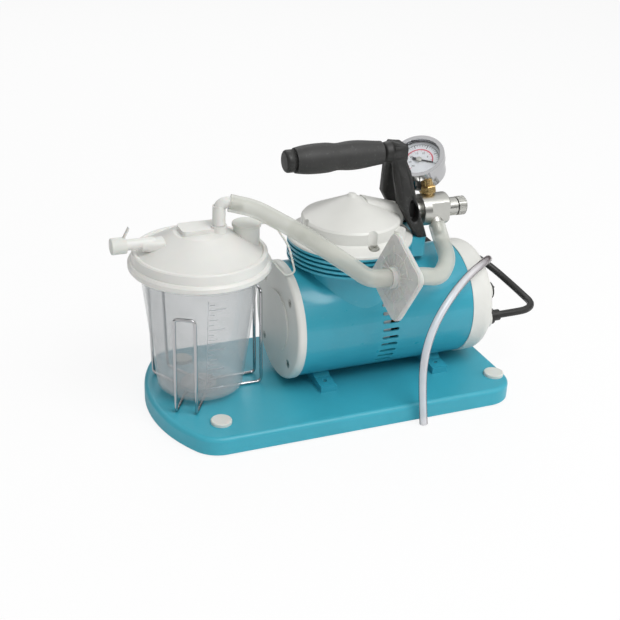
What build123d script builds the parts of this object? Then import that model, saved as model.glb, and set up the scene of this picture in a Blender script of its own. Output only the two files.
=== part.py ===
"""Portable suction unit: a collection jar and a motor-driven diaphragm pump on one base tray.

Millimetres, +Z up. The working frame below has its origin at the middle of the base, on the floor;
X runs along the motor, from the jar (left) to the gauge (right), and -Y is the user's side.
The last block moves every piece by one common step, so that the origin lies under the middle
of the whole object.
"""

import os
from math import atan, cos, degrees, pi, radians, sin, sqrt, tan

from build123d import *

os.makedirs("parts", exist_ok=True)

# driving sizes
base_length = 348.0
base_width = 180.0
base_top = 18.0            # height of the tray's flat top above the floor
jar_x = -122.5             # axis of the collection jar
jar_y = 5.8
motor_y = 5.5              # motor axis runs along X
motor_z = 78.5
motor_r = 56.0
pump_x = 26.0              # vertical axis of the pump head, square to the motor's axis

# clearances
sliding_gap = 0.3          # between separate bodies that only pass each other
running_gap = 0.05         # radial gap of a shaft in its bearing
seat_gap = 0.05            # radial gap of a piece that is pushed into its place

# base tray and feet
tray_wall = 3.2
tray_plate = 3.5
skirt_bottom = 1.2
tray_edge_fillet = 4.5
left_bow_radius = 141.0
right_corner_radius = 29.0
left_corner_radius = 30.0
foot_places = [(x, y) for x in (161.0, -123.6) for y in (-62.0, 62.0)]
foot_button_r = 9.8
foot_button_height = 3.4
foot_stem_r = 5.0
foot_pad_r = 9.2
foot_pad_height = 4.2
boss_wall = 3.0

# wire holder of the jar
wire_r = 1.5
lobe_half_width = 9.5
lobe_angles = (0.0, 120.0, 240.0)
lobe_foot_radii = (60.0, 50.5, 50.5)
lobe_top_radii = (57.5, 56.0, 56.0)
holder_top = 117.0
clamp_r = 17.0
clamp_height = 3.5

# jar
jar_bottom_r = 40.6
jar_top_r = 55.3
jar_wall = 2.0
jar_floor = 2.5
jar_rim = 150.0
jar_rim_r = 58.8
gasket_height = 1.5

# lid
lid_bead_r = 65.3
lid_bead_bottom = 145.0
lid_band_r = 61.4
lid_band_top = 162.0
lid_plateau_r = 24.0
lid_plateau_z = 179.0
lid_wall = 2.2
pad_height = 3.5
elbow_x = -107.0
elbow_y = -1.5
elbow_turn_z = 209.0
elbow_r = 5.3
elbow_bore_r = 3.2
ortho_x = -77.5
ortho_y = 7.8
ortho_r = 12.3
ortho_top = 179.0
ortho_cap_r = 13.5
patient_z = 173.5
patient_r = 5.0
patient_end = -192.0
patient_cap_r = 7.5
patient_cap_end = -204.0
float_travel = 7.0

# silicone hoses and the square in-line filter
hose_r = 8.0
hose_bore_r = 5.5
filter_centre = Vector(27.5, -93.0, 155.8)
filter_across = Vector(0.13, -0.94, 0.31).normalized()
filter_normal = Vector(-0.987, -0.096, 0.122).normalized()
filter_side = 60.0
filter_corner_r = 9.0
filter_half_thickness = 4.0
hub_r = 9.5
hub_length = 5.0
barb_length = 9.0

# motor
shell_left = -38.0
shell_right = 137.5
shell_wall = 2.5
left_cap_depth = 8.0
right_cap_depth = 26.0
shaft_r = 4.0
stator_left = 62.0
stator_length = 46.0
stator_outer_r = 45.0
rotor_r = 24.0
air_gap = 0.4
slot_count = 9
slot_length = 17.0
slot_width = 3.4
slot_x = 49.0
foot_x_places = (-9.0, 111.0)
foot_width = 16.0
foot_reach = 47.5
foot_height = 6.5

# pump head
neck_r = 50.0
neck_wall = 4.0
fin_r = 59.5
fin_core_r = 54.0
fin_bottom = 137.5
fin_pitch = 4.4
fin_thickness = 2.2
fin_count = 5
cover_flange_thickness = 3.0
cover_drum_r = 47.0
cover_shoulder_z = 165.6
cover_edge_z = 178.0
cover_apex_z = 200.0
cover_wall = 4.0
head_screw_pcd_r = 49.5
crank_throw = 2.5
rod_width = 10.0
diaphragm_thickness = 2.4

# handle
handle_y = 4.0
grip_z = 237.5
grip_left = -34.0
grip_right = 52.0
grip_bore_r = 7.0
elbow_centre_x = 67.0

# regulator and gauge
regulator_z = 175.0
regulator_left = 97.0
regulator_right = 126.0
regulator_r = 15.5
collar_r = 9.0
collar_end = 137.0
knob_r = 9.3
knob_length = 9.0
manifold_r = 6.5
gauge_centre = Vector(103.4, 25.6, 222.1)
gauge_normal = Vector(-0.42, -0.35, 0.838).normalized()
gauge_ring_r = 25.7
gauge_case_r = 24.0
gauge_depth = 24.0
gauge_stem_length = 18.0

# mains cord and drain tube
cord_r = 3.7
cord_coil_diameter = 90.0
tube_r = 4.0

pieces = {}                # node name to solid, in the working frame
loose_nodes = []           # cords and what is on them: they don't count for the origin


def keep(name, part, loose=False):
    """Store a finished solid under its node name."""
    pieces[name] = part
    if loose:
        loose_nodes.append(name)


def bend_radii(points, share=0.45):
    """Radius of the arc at each inner corner, as large as the shorter run beside it allows."""
    radii = []
    for before, corner, after in zip(points, points[1:], points[2:]):
        run_in = Vector(*corner) - Vector(*before)
        run_out = Vector(*after) - Vector(*corner)
        half_turn = radians(run_in.get_angle(run_out)) / 2
        radii.append(share * min(run_in.length, run_out.length) / tan(half_turn))
    return radii


def facing_x(x, y, z):
    """Plane square to X through a point, with its first axis along Y."""
    return Plane(origin=(x, y, z), x_dir=(0, 1, 0), z_dir=(1, 0, 0))


def swept_tube(points, radii, outer_r, inner_r=0.0):
    """A round tube, or a round bar where inner_r is 0, along straight runs joined by arcs."""
    with BuildPart() as tube:
        with BuildLine() as path:
            FilletPolyline(*points, radius=radii)
        with BuildSketch(Plane(origin=path.line @ 0, z_dir=path.line % 0)):
            Circle(outer_r)
            if inner_r:
                Circle(inner_r, mode=Mode.SUBTRACT)
        sweep()
    return tube.part


def revolved(points, x, y):
    """A solid of revolution about the vertical line through x, y, from (radius, z) points."""
    with BuildPart() as body:
        with BuildSketch(Plane(origin=(x, y, 0), x_dir=(1, 0, 0), z_dir=(0, -1, 0))):
            with BuildLine():
                Polyline(*points, close=True)
            make_face()
        revolve(axis=Axis((x, y, 0), (0, 0, 1)))
    return body.part


def x_cylinder(x0, x1, r, y=motor_y, z=motor_z, inner_r=0.0):
    """A cylinder or tube along X between x0 and x1."""
    with BuildPart() as body:
        with BuildSketch(facing_x(x0, y, z)):
            Circle(r)
            if inner_r:
                Circle(inner_r, mode=Mode.SUBTRACT)
        extrude(amount=x1 - x0)
    return body.part


def z_cylinder(x, y, z0, z1, r, inner_r=0.0):
    """An upright cylinder or tube between z0 and z1."""
    with BuildPart() as body:
        with BuildSketch(Plane.XY.offset(z0)):
            with Locations((x, y)):
                Circle(r)
                if inner_r:
                    Circle(inner_r, mode=Mode.SUBTRACT)
        extrude(amount=z1 - z0)
    return body.part


# base tray
bow_centre_x = -base_length / 2 + left_bow_radius
bow_end_x = bow_centre_x - sqrt(left_bow_radius ** 2 - (base_width / 2) ** 2)
holder_centre = (jar_x - 1.5, jar_y)
foot_screw_reach = foot_reach - 10.0
motor_screw_places = [(x, motor_y + side * foot_screw_reach) for x in foot_x_places for side in (-1, 1)]

with BuildPart() as base_tray:
    with BuildSketch(Plane.XY.offset(skirt_bottom)) as tray_outline:
        with BuildLine():
            Polyline(
                (bow_end_x, -base_width / 2),
                (base_length / 2, -base_width / 2),
                (base_length / 2, base_width / 2),
                (bow_end_x, base_width / 2),
            )
            ThreePointArc(
                (bow_end_x, base_width / 2), (-base_length / 2, 0), (bow_end_x, -base_width / 2)
            )
        make_face()
        corners = tray_outline.vertices().sort_by(Axis.X)
        fillet(corners[:2], left_corner_radius)
        fillet(tray_outline.vertices().sort_by(Axis.X)[-2:], right_corner_radius)
    extrude(amount=base_top - skirt_bottom)
    fillet(base_tray.faces().sort_by(Axis.Z)[-1].edges(), tray_edge_fillet)
    with BuildSketch(Plane.XY.offset(skirt_bottom)):
        add(tray_outline.sketch.face().moved(Location((0, 0, -skirt_bottom))))
        offset(amount=-tray_wall)
    extrude(amount=base_top - tray_plate - skirt_bottom, mode=Mode.SUBTRACT)
    # bosses and stiffening ribs under the plate
    with BuildSketch(Plane.XY.offset(foot_pad_height)):
        with Locations(*foot_places):
            Circle(foot_stem_r + boss_wall)
    extrude(until=Until.NEXT)
    with BuildSketch(Plane.XY.offset(base_top - tray_plate - 5)):
        with Locations((0, -35), (0, 35)):
            Rectangle(base_length - 60, 2.5)
        with Locations((-60, 0), (50, 0)):
            Rectangle(2.5, base_width - 2 * tray_wall - 1)
    extrude(until=Until.NEXT)
    with Locations(*[(x, y, base_top / 2) for x, y in foot_places]):
        Cylinder(foot_stem_r + seat_gap, base_top * 2, mode=Mode.SUBTRACT)
    with Locations(*[(x, y, base_top) for x, y in motor_screw_places + [holder_centre]]):
        Cylinder(2.6, base_top * 2, mode=Mode.SUBTRACT)
    with Locations(*[(x, y, 0) for x, y in motor_screw_places + [holder_centre]]):
        Cylinder(6.0, 2 * (base_top - tray_plate), mode=Mode.SUBTRACT)
keep("base_tray", base_tray.part)

with BuildPart() as base_feet:
    for x, y in foot_places:
        with Locations((x, y, 0)):
            Cylinder(foot_pad_r, foot_pad_height, align=(Align.CENTER, Align.CENTER, Align.MIN))
            Cylinder(foot_stem_r, base_top, align=(Align.CENTER, Align.CENTER, Align.MIN))
        with Locations((x, y, base_top)):
            Cylinder(foot_button_r, foot_button_height, align=(Align.CENTER, Align.CENTER, Align.MIN))
    rims = base_feet.edges().filter_by(GeomType.CIRCLE).group_by(Axis.Z)[-1]
    fillet(rims, 1.4)
keep("base_feet", base_feet.part)

# wire holder of the jar
wire_z = base_top + wire_r
inner_turn_r = lobe_half_width / sin(radians(60))


def holder_point(along, across, z, angle):
    """A point of the wire star: along and across one lobe, turned to the lobe's angle."""
    a = radians(angle)
    x = holder_centre[0] + along * cos(a) - across * sin(a)
    y = holder_centre[1] + along * sin(a) + across * cos(a)
    return (x, y, z)


star_points = [holder_point(20.0, lobe_half_width, wire_z, lobe_angles[0])]
for number in (1, 2, 0):
    angle = lobe_angles[number]
    foot_r = lobe_foot_radii[number]
    top_r = lobe_top_radii[number]
    star_points.append(holder_point(0, inner_turn_r, wire_z, angle - 60 - 90))
    star_points.append(holder_point(foot_r, -lobe_half_width, wire_z, angle))
    star_points.append(holder_point(top_r, -lobe_half_width, holder_top, angle))
    star_points.append(holder_point(top_r, lobe_half_width, holder_top, angle))
    star_points.append(holder_point(foot_r, lobe_half_width, wire_z, angle))
butt_gap = 0.4
star_points.append(holder_point(20.0 + butt_gap, lobe_half_width, wire_z, lobe_angles[0]))
star_radii = [3.5 if index % 5 == 0 else 4.0 for index in range(len(star_points) - 2)]
keep("jar_holder", swept_tube(star_points, star_radii, wire_r))

clamp_bottom = base_top + 2 * wire_r
jar_bottom = clamp_bottom + clamp_height
with BuildPart() as holder_clamp:
    with BuildSketch(Plane.XY.offset(clamp_bottom)):
        with Locations(holder_centre):
            Circle(clamp_r)
    extrude(amount=clamp_height)
    with BuildSketch(Plane.XY.offset(base_top)):
        with Locations(holder_centre):
            Circle(4.5)
    extrude(amount=2 * wire_r)
    with Locations((*holder_centre, clamp_bottom)):
        Cylinder(2.1, 30, mode=Mode.SUBTRACT)
    with Locations((*holder_centre, jar_bottom)):
        Cylinder(5.0, 2 * 2.2, mode=Mode.SUBTRACT)
    # its screw, with a cross recess, and the nut under the tray
    with Locations((*holder_centre, jar_bottom - 2.2)):
        Cylinder(4.6, 2.0, align=(Align.CENTER, Align.CENTER, Align.MIN))
        Cylinder(2.0, 15.0, align=(Align.CENTER, Align.CENTER, Align.MAX))
    with Locations((*holder_centre, base_top - tray_plate)):
        Cylinder(4.2, 3.2, align=(Align.CENTER, Align.CENTER, Align.MAX))
    with Locations((*holder_centre, jar_bottom - 0.2)):
        Box(6.5, 1.0, 1.6, mode=Mode.SUBTRACT)
        Box(1.0, 6.5, 1.6, mode=Mode.SUBTRACT)
keep("holder_clamp", holder_clamp.part)

# jar, lid and what is on the lid
gasket_top = jar_rim + gasket_height
cup_profile = [
    (0, jar_bottom),
    (jar_bottom_r - 3, jar_bottom),
    (jar_bottom_r, jar_bottom + 3),
    (jar_top_r, jar_rim - 3),
    (jar_rim_r, jar_rim - 3),
    (jar_rim_r, jar_rim),
    (jar_top_r - jar_wall, jar_rim),
    (jar_bottom_r - jar_wall, jar_bottom + jar_floor + 1.5),
    (jar_bottom_r - jar_wall - 2, jar_bottom + jar_floor),
    (0, jar_bottom + jar_floor),
]
keep("jar_cup", revolved(cup_profile, jar_x, jar_y))
keep(
    "lid_gasket",
    z_cylinder(jar_x, jar_y, jar_rim, gasket_top, jar_rim_r - 0.2, jar_top_r - jar_wall + 0.3),
)

lid_ledge_r = jar_top_r - jar_wall
lid_profile = [
    (jar_rim_r + 0.4, lid_bead_bottom),
    (lid_bead_r - 1.5, lid_bead_bottom),
    (lid_bead_r, lid_bead_bottom + 1.8),
    (lid_bead_r, lid_bead_bottom + 5.5),
    (lid_bead_r - 1.6, lid_bead_bottom + 7.5),
    (lid_band_r + 0.7, lid_bead_bottom + 8.0),
    (lid_band_r, lid_band_top - 1.0),
    (lid_band_r - 1.2, lid_band_top),
    (lid_band_r - 3.6, lid_band_top),
    (lid_band_r - 4.8, lid_band_top - 1.5),
    (lid_plateau_r, lid_plateau_z),
    (lid_plateau_r - 8, lid_plateau_z + 1.3),
    (0, lid_plateau_z + 1.8),
    (0, lid_plateau_z + 1.8 - lid_wall),
    (lid_plateau_r - 0.5, lid_plateau_z - lid_wall),
    (lid_ledge_r, lid_band_top - 1.5 - lid_wall + 1.0),
    (lid_ledge_r, gasket_top),
    (jar_rim_r + 0.4, gasket_top),
]
port_x0 = jar_x - 42.0
spigot_bottom = lid_plateau_z - 12.0
with BuildPart() as jar_lid:
    add(revolved(lid_profile, jar_x, jar_y))
    # flat pad that carries the outlet elbow
    with BuildSketch(Plane.XY.offset(lid_plateau_z - 3)):
        with Locations((jar_x + 1.0, jar_y - 0.5)):
            RectangleRounded(40, 23, 4)
    extrude(amount=3 + 1.8 + pad_height)
    # socket for the elbow, and the spigot that holds the float cage
    with Locations((elbow_x, elbow_y, spigot_bottom)):
        Cylinder(elbow_r + 2.0, lid_plateau_z + pad_height + 3.5 - spigot_bottom,
                 align=(Align.CENTER, Align.CENTER, Align.MIN))
    # wide port
    with BuildSketch(Plane.XY.offset(lid_band_top - 2)):
        with Locations((ortho_x, ortho_y)):
            Circle(ortho_r)
    extrude(amount=ortho_top - lid_band_top + 2)
    # narrow port, pointing away from the motor, on a tapered root
    with BuildSketch(facing_x(patient_end, jar_y, patient_z)):
        Circle(patient_r)
    extrude(amount=port_x0 - patient_end)
    with BuildSketch(facing_x(port_x0 - 12, jar_y, patient_z - 2)):
        Circle(patient_r + 0.5)
    with BuildSketch(facing_x(port_x0 + 8, jar_y, patient_z - 4)):
        RectangleRounded(18, 14, 5)
    loft()
    with BuildSketch(Plane.XY.offset(gasket_top)):
        with Locations((jar_x, jar_y)):
            Circle(lid_ledge_r)
    extrude(amount=lid_band_top - 1.5 - lid_wall + 1.0 - gasket_top, mode=Mode.SUBTRACT)
    # bores
    with Locations((elbow_x, elbow_y, spigot_bottom - 1)):
        Cylinder(elbow_bore_r, 60, align=(Align.CENTER, Align.CENTER, Align.MIN), mode=Mode.SUBTRACT)
    with Locations((elbow_x, elbow_y, lid_plateau_z)):
        Cylinder(elbow_r + seat_gap, 30, align=(Align.CENTER, Align.CENTER, Align.MIN), mode=Mode.SUBTRACT)
    with Locations((ortho_x, ortho_y, lid_band_top)):
        Cylinder(ortho_r - 2.0, 80, mode=Mode.SUBTRACT)
    with BuildSketch(facing_x(patient_end - 1, jar_y, patient_z)):
        Circle(3.0)
    extrude(amount=jar_x - 36 - patient_end, mode=Mode.SUBTRACT)
keep("jar_lid", jar_lid.part)

cage_top = spigot_bottom + 8.0
cage_r = 13.0
cage_seat_z = spigot_bottom - 4.0
float_r = 10.5
float_rest_top = cage_seat_z - float_travel - 0.5
cage_bottom = float_rest_top - 20.0
with BuildPart() as float_cage:
    add(z_cylinder(elbow_x, elbow_y, cage_seat_z, cage_top, elbow_r + 4.0, elbow_r + 2.0 + seat_gap))
    add(z_cylinder(elbow_x, elbow_y, cage_seat_z, cage_seat_z + 2.5, cage_r, elbow_bore_r + 0.5))
    add(z_cylinder(elbow_x, elbow_y, cage_bottom, cage_bottom + 2.0, cage_r, 4.0))
    with Locations((elbow_x, elbow_y, cage_bottom)):
        with PolarLocations(cage_r - 1.0, 4):
            Box(2.0, 3.0, cage_seat_z + 2.0 - cage_bottom, align=(Align.CENTER, Align.CENTER, Align.MIN))
keep("float_cage", float_cage.part)

with BuildPart() as float_valve:
    add(revolved(
        [
            (0, cage_bottom + 2.3),
            (float_r, cage_bottom + 2.3),
            (float_r, float_rest_top - 3.0),
            (elbow_bore_r + 1.5, float_rest_top),
            (0, float_rest_top),
        ],
        elbow_x, elbow_y,
    ))
keep("float_valve", float_valve.part)

with BuildPart() as ortho_cap:
    with Locations((ortho_x, ortho_y, ortho_top)):
        Cylinder(ortho_cap_r, 2.6, align=(Align.CENTER, Align.CENTER, Align.MIN))
        Cylinder(ortho_r - 2.0 - sliding_gap, 7.0, align=(Align.CENTER, Align.CENTER, Align.MAX))
        Cylinder(ortho_r - 4.0, 7.5, align=(Align.CENTER, Align.CENTER, Align.MAX), mode=Mode.SUBTRACT)
    fillet(ortho_cap.edges().filter_by(GeomType.CIRCLE).group_by(Axis.Z)[-1], 0.8)
    with Locations((ortho_x + ortho_cap_r + 1.5, ortho_y, ortho_top + 1.0)):
        Box(6, 7, 1.6)
keep("ortho_cap", ortho_cap.part)

tether_points = [
    (ortho_x + ortho_cap_r + 5.3, ortho_y, ortho_top + 1.0),
    (-50.0, 2.0, 175.0),
    (-41.5, -8.0, 160.0),
    (-38.0, -17.0, 137.0),
    (-47.0, -16.0, 134.0),
    (jar_x + lid_bead_r - 1.2, -5.0, lid_bead_bottom + 3),
]
with BuildPart() as ortho_cap_tether:
    add(swept_tube(tether_points, bend_radii(tether_points, 0.35), 1.0))
    # its foot is moulded against the rim of the lid
    add(z_cylinder(jar_x, jar_y, lid_bead_bottom - 5, lid_bead_bottom + 10, lid_bead_r), mode=Mode.SUBTRACT)
keep("ortho_cap_tether", ortho_cap_tether.part)

with BuildPart() as patient_cap:
    with BuildSketch(facing_x(patient_cap_end, jar_y, patient_z)):
        Circle(patient_cap_r)
    extrude(amount=13.5)
    fillet(patient_cap.edges().sort_by(Axis.X)[0], 1.2)
    with BuildSketch(facing_x(patient_end - 0.4, jar_y, patient_z)):
        Circle(patient_r + seat_gap)
    extrude(amount=20, mode=Mode.SUBTRACT)
    with Locations((patient_cap_end + 11.5, jar_y, patient_z + patient_cap_r - 1)):
        with Locations(Rotation(0, 28, 0)):
            Box(1.2, 4.0, 11.0, align=(Align.CENTER, Align.CENTER, Align.MIN))
keep("patient_cap", patient_cap.part)

hose_knee = Vector(-76.0, -10.5, 201.5)
elbow_turn = Vector(elbow_x, elbow_y, elbow_turn_z)
outlet_dir = (hose_knee - elbow_turn).normalized()
elbow_points = [
    (elbow_x, elbow_y, lid_plateau_z + 0.2),
    tuple(elbow_turn),
    tuple(elbow_turn + outlet_dir * 22.0),
]
with BuildPart() as lid_elbow:
    add(swept_tube(elbow_points, [7.0], elbow_r, elbow_bore_r))
    with BuildSketch(Plane.XY.offset(lid_plateau_z + pad_height + 4.0)):
        with Locations((elbow_x, elbow_y)):
            Circle(elbow_r + 0.6)
            Circle(elbow_r - 0.5, mode=Mode.SUBTRACT)
    extrude(amount=18.0)
keep("lid_elbow", lid_elbow.part)

# filter and the two silicone hoses


def filter_half(side):
    """One half shell of the filter: dished square plate, hub, hose barb and radial ribs."""
    z_dir = filter_normal * side
    plane = Plane(origin=filter_centre, x_dir=filter_across, z_dir=z_dir)
    with BuildPart() as half:
        with BuildSketch(plane.offset(0.3)):
            RectangleRounded(filter_side, filter_side, filter_corner_r, rotation=45)
        extrude(amount=filter_half_thickness - 1.5, taper=20)
        with BuildSketch(plane):
            RectangleRounded(filter_side, filter_side, filter_corner_r, rotation=45)
            inner_side = filter_side - 5
            RectangleRounded(inner_side, inner_side, filter_corner_r - 2, rotation=45, mode=Mode.SUBTRACT)
        extrude(amount=1.6)
        with BuildSketch(plane.offset(filter_half_thickness - 2)):
            Circle(hub_r)
        extrude(amount=hub_length + 2)
        with BuildSketch(plane.offset(filter_half_thickness)):
            Circle(hose_bore_r - seat_gap)
        extrude(amount=hub_length + barb_length)
        with BuildSketch(plane.offset(filter_half_thickness - 1.6)):
            with PolarLocations(18.5, 8):
                Rectangle(20, 1.2)
        extrude(amount=1.0)
        with BuildSketch(plane.offset(-1)):
            Circle(2.5)
        extrude(amount=hub_length + barb_length + 10, mode=Mode.SUBTRACT)
    return half.part


keep("filter_inlet_half", filter_half(1))
keep("filter_outlet_half", filter_half(-1))

hub_face = filter_half_thickness + hub_length
hub_in = filter_centre + filter_normal * hub_face
hub_out = filter_centre - filter_normal * hub_face
suction_points = [
    tuple(elbow_turn + outlet_dir * 9.5),
    tuple(hose_knee),
    (-42.0, -41.0, 185.0),
    (-14.0, -78.0, 168.0),
    tuple(hub_in + filter_normal * 19.0),
    tuple(hub_in),
]
keep("suction_hose", swept_tube(suction_points, bend_radii(suction_points, 0.42), hose_r, hose_bore_r))

regulator_barb_root = Vector(113.0, motor_y - 7.0, regulator_z - 8.5)
regulator_barb_dir = Vector(-0.02, -0.74, -0.67).normalized()
hose_start = regulator_barb_root + regulator_barb_dir * 5.6
outlet_points = [
    tuple(hose_start),
    tuple(hose_start + regulator_barb_dir * 17.0),
    (104.0, -49.0, 145.0),
    (82.0, -75.0, 141.0),
    tuple(hub_out - filter_normal * 18.0),
    tuple(hub_out),
]
keep("regulator_hose", swept_tube(outlet_points, bend_radii(outlet_points, 0.42), hose_r, hose_bore_r))

# motor
slot_angles = [200.0 + 8.5 * index for index in range(slot_count)]
with BuildPart() as motor_shell:
    add(x_cylinder(shell_left, shell_right, motor_r, inner_r=motor_r - shell_wall))
    with BuildSketch(Plane.XY.offset(motor_z)):
        with Locations((pump_x, motor_y)):
            Circle(neck_r - neck_wall)
    extrude(amount=motor_r + 5, mode=Mode.SUBTRACT)
    for angle in slot_angles:
        direction = Vector(0, cos(radians(angle)), sin(radians(angle)))
        slot_seat = Vector(slot_x, motor_y, motor_z) + direction * (motor_r - 6)
        plane = Plane(origin=slot_seat, x_dir=(1, 0, 0), z_dir=direction)
        with BuildSketch(plane):
            SlotOverall(slot_length, slot_width)
        extrude(amount=12, mode=Mode.SUBTRACT)
keep("motor_shell", motor_shell.part)

rotor_left = stator_left - 1.0
rotor_right = stator_left + stator_length + 1.0
shaft_left = 8.0
bearing_r = 11.0
bearing_width = 7.0
left_bearing_x = 46.0
right_bearing_x = shell_right - 8.0

with BuildPart() as left_end_cap:
    add(x_cylinder(shell_left - left_cap_depth, shell_left, motor_r + 1.5))
    fillet(left_end_cap.edges().filter_by(GeomType.CIRCLE).sort_by(Axis.X)[0], 3.5)
    add(x_cylinder(shell_left - left_cap_depth - 1.2, shell_left - left_cap_depth, 30))
    lip_r = motor_r - shell_wall - seat_gap
    add(x_cylinder(shell_left, shell_left + 5, lip_r, inner_r=lip_r - 5))
    with BuildSketch(facing_x(shell_left - 2, motor_y, motor_z)):
        Circle(motor_r - 10)
    extrude(amount=3, mode=Mode.SUBTRACT)
    for angle in (45, 135, 225, 315):
        y = motor_y + (motor_r - 11) * cos(radians(angle))
        z = motor_z + (motor_r - 11) * sin(radians(angle))
        with BuildSketch(facing_x(shell_left - left_cap_depth - 2, y, z)):
            Circle(4.2)
        extrude(amount=4.5, mode=Mode.SUBTRACT)
keep("left_end_cap", left_end_cap.part)

with BuildPart() as end_cap_screws:
    for angle in (45, 135, 225, 315):
        y = motor_y + (motor_r - 11) * cos(radians(angle))
        z = motor_z + (motor_r - 11) * sin(radians(angle))
        head = shell_left - left_cap_depth + 2.5 - 2.2
        plane = facing_x(head, y, z)
        with BuildSketch(plane):
            Circle(3.8)
        extrude(amount=2.2)
        with BuildSketch(plane.offset(-0.5)):
            Rectangle(5.2, 1.1)
            Rectangle(1.1, 5.2)
        extrude(amount=1.6, mode=Mode.SUBTRACT)
keep("end_cap_screws", end_cap_screws.part)

gland_places = ((-32.0 + motor_y, 94.0), (-37.0 + motor_y, 67.5))
cap_end_x = shell_right + right_cap_depth
gland_x = cap_end_x + 2.0
with BuildPart() as right_end_cap:
    add(x_cylinder(shell_right, cap_end_x, motor_r + 0.8))
    fillet(right_end_cap.edges().filter_by(GeomType.CIRCLE).sort_by(Axis.X)[-1], 13.0)
    add(x_cylinder(shell_right - 5, shell_right, motor_r - shell_wall - seat_gap))
    add(x_cylinder(shell_right - 6, cap_end_x - 4, motor_r - shell_wall - 5), mode=Mode.SUBTRACT)
    for y, z in gland_places:
        with BuildSketch(facing_x(shell_right + 10, y, z)):
            Circle(10.5)
        extrude(amount=gland_x - shell_right - 10)
    with BuildSketch(facing_x(cap_end_x - 10, motor_y, motor_z)):
        Circle(bearing_r + 4)
    extrude(amount=7)
    add(x_cylinder(right_bearing_x - bearing_width / 2, cap_end_x - 3, bearing_r + 3))
    for y, z in gland_places:
        with BuildSketch(facing_x(shell_right + 12, y, z)):
            Circle(7.2)
        extrude(amount=30, mode=Mode.SUBTRACT)
    with BuildSketch(
        facing_x(right_bearing_x - bearing_width / 2 - 1, motor_y, motor_z)
    ):
        Circle(bearing_r + seat_gap)
    extrude(amount=bearing_width + 4, mode=Mode.SUBTRACT)
    # cooling slots in the end face
    with BuildSketch(facing_x(cap_end_x - 6, motor_y, motor_z)):
        with PolarLocations(26, 4, start_angle=0, angular_range=100):
            SlotOverall(13, 3.5)
    extrude(amount=10, mode=Mode.SUBTRACT)
keep("right_end_cap", right_end_cap.part)

with BuildPart() as motor_feet:
    for x in foot_x_places:
        with BuildSketch(facing_x(x - foot_width / 2, motor_y, 0)):
            with BuildLine():
                Polyline(
                    (-foot_reach, base_top), (foot_reach, base_top), (foot_reach, base_top + foot_height),
                    (foot_reach - 16, base_top + foot_height + 1.5), (foot_reach - 26, base_top + 14),
                    (-foot_reach + 26, base_top + 14), (-foot_reach + 16, base_top + foot_height + 1.5),
                    (-foot_reach, base_top + foot_height), close=True,
                )
            make_face()
        extrude(amount=foot_width)
    add(x_cylinder(shell_left, shell_right, motor_r), mode=Mode.SUBTRACT)
    with Locations(*[(x, y, base_top) for x, y in motor_screw_places]):
        Cylinder(2.1, 40, mode=Mode.SUBTRACT)
keep("motor_feet", motor_feet.part)

with BuildPart() as foot_screws:
    for x, y in motor_screw_places:
        with Locations((x, y, base_top - tray_plate)):
            Cylinder(4.5, 3.0, align=(Align.CENTER, Align.CENTER, Align.MAX))
            Cylinder(2.0, tray_plate + foot_height - 1.0, align=(Align.CENTER, Align.CENTER, Align.MIN))
keep("foot_screws", foot_screws.part)

# inside the motor
with BuildPart() as stator_core:
    add(x_cylinder(stator_left, stator_left + stator_length, stator_outer_r, inner_r=rotor_r + air_gap))
    for angle in range(0, 360, 30):
        r = rotor_r + 9.5
        y = motor_y + r * cos(radians(angle))
        z = motor_z + r * sin(radians(angle))
        with BuildSketch(facing_x(stator_left, y, z)):
            Circle(3.6)
        extrude(amount=stator_length, mode=Mode.SUBTRACT)
    for side in (-1, 1):
        with Locations((stator_left + stator_length / 2, motor_y + side * (stator_outer_r + 4), motor_z)):
            Box(stator_length, 2 * (motor_r - shell_wall - stator_outer_r - 0.5), 12)
    bore_fit_r = motor_r - shell_wall - seat_gap
    add(x_cylinder(stator_left, stator_left + stator_length, bore_fit_r), mode=Mode.INTERSECT)
keep("stator_core", stator_core.part)

with BuildPart() as stator_windings:
    for start in (stator_left - 9.0, stator_left + stator_length):
        add(x_cylinder(start, start + 9.0, rotor_r + 16.0, inner_r=rotor_r + 3.0))
    for angle in range(0, 360, 30):
        r = rotor_r + 9.5
        y = motor_y + r * cos(radians(angle))
        z = motor_z + r * sin(radians(angle))
        with BuildSketch(facing_x(stator_left, y, z)):
            Circle(3.3)
        extrude(amount=stator_length)
keep("stator_windings", stator_windings.part)

keep("rotor_core", x_cylinder(rotor_left, rotor_right, rotor_r, inner_r=shaft_r))
keep("motor_shaft", x_cylinder(shaft_left, right_bearing_x + 6, shaft_r))
with BuildPart() as bearings:
    for x in (left_bearing_x, right_bearing_x):
        bearing_left = x - bearing_width / 2
        add(x_cylinder(bearing_left, bearing_left + bearing_width, bearing_r, inner_r=shaft_r + running_gap))
keep("bearings", bearings.part)

with BuildPart() as bearing_bridge:
    add(x_cylinder(left_bearing_x - 3.5, left_bearing_x + 3.5, motor_r - shell_wall - seat_gap,
                   inner_r=motor_r - shell_wall - 6))
    add(x_cylinder(left_bearing_x - 3.5, left_bearing_x + 3.5, bearing_r + 4, inner_r=bearing_r + seat_gap))
    for angle in (0, 90, 180, 270):
        a = radians(angle + 45)
        mid = (bearing_r + 3 + motor_r - shell_wall - 4) / 2
        length = motor_r - shell_wall - 4 - bearing_r - 3
        plane = Plane(
            origin=(left_bearing_x - 3.5, motor_y + mid * cos(a), motor_z + mid * sin(a)),
            x_dir=(0, cos(a), sin(a)), z_dir=(1, 0, 0),
        )
        with BuildSketch(plane):
            Rectangle(length, 6)
        extrude(amount=7)
    # the pump's neck opens above, so the bridge keeps clear of the connecting rod
    with Locations((pump_x, motor_y, motor_z + 45)):
        Box(28, 30, 60, mode=Mode.SUBTRACT)
keep("bearing_bridge", bearing_bridge.part)

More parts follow.
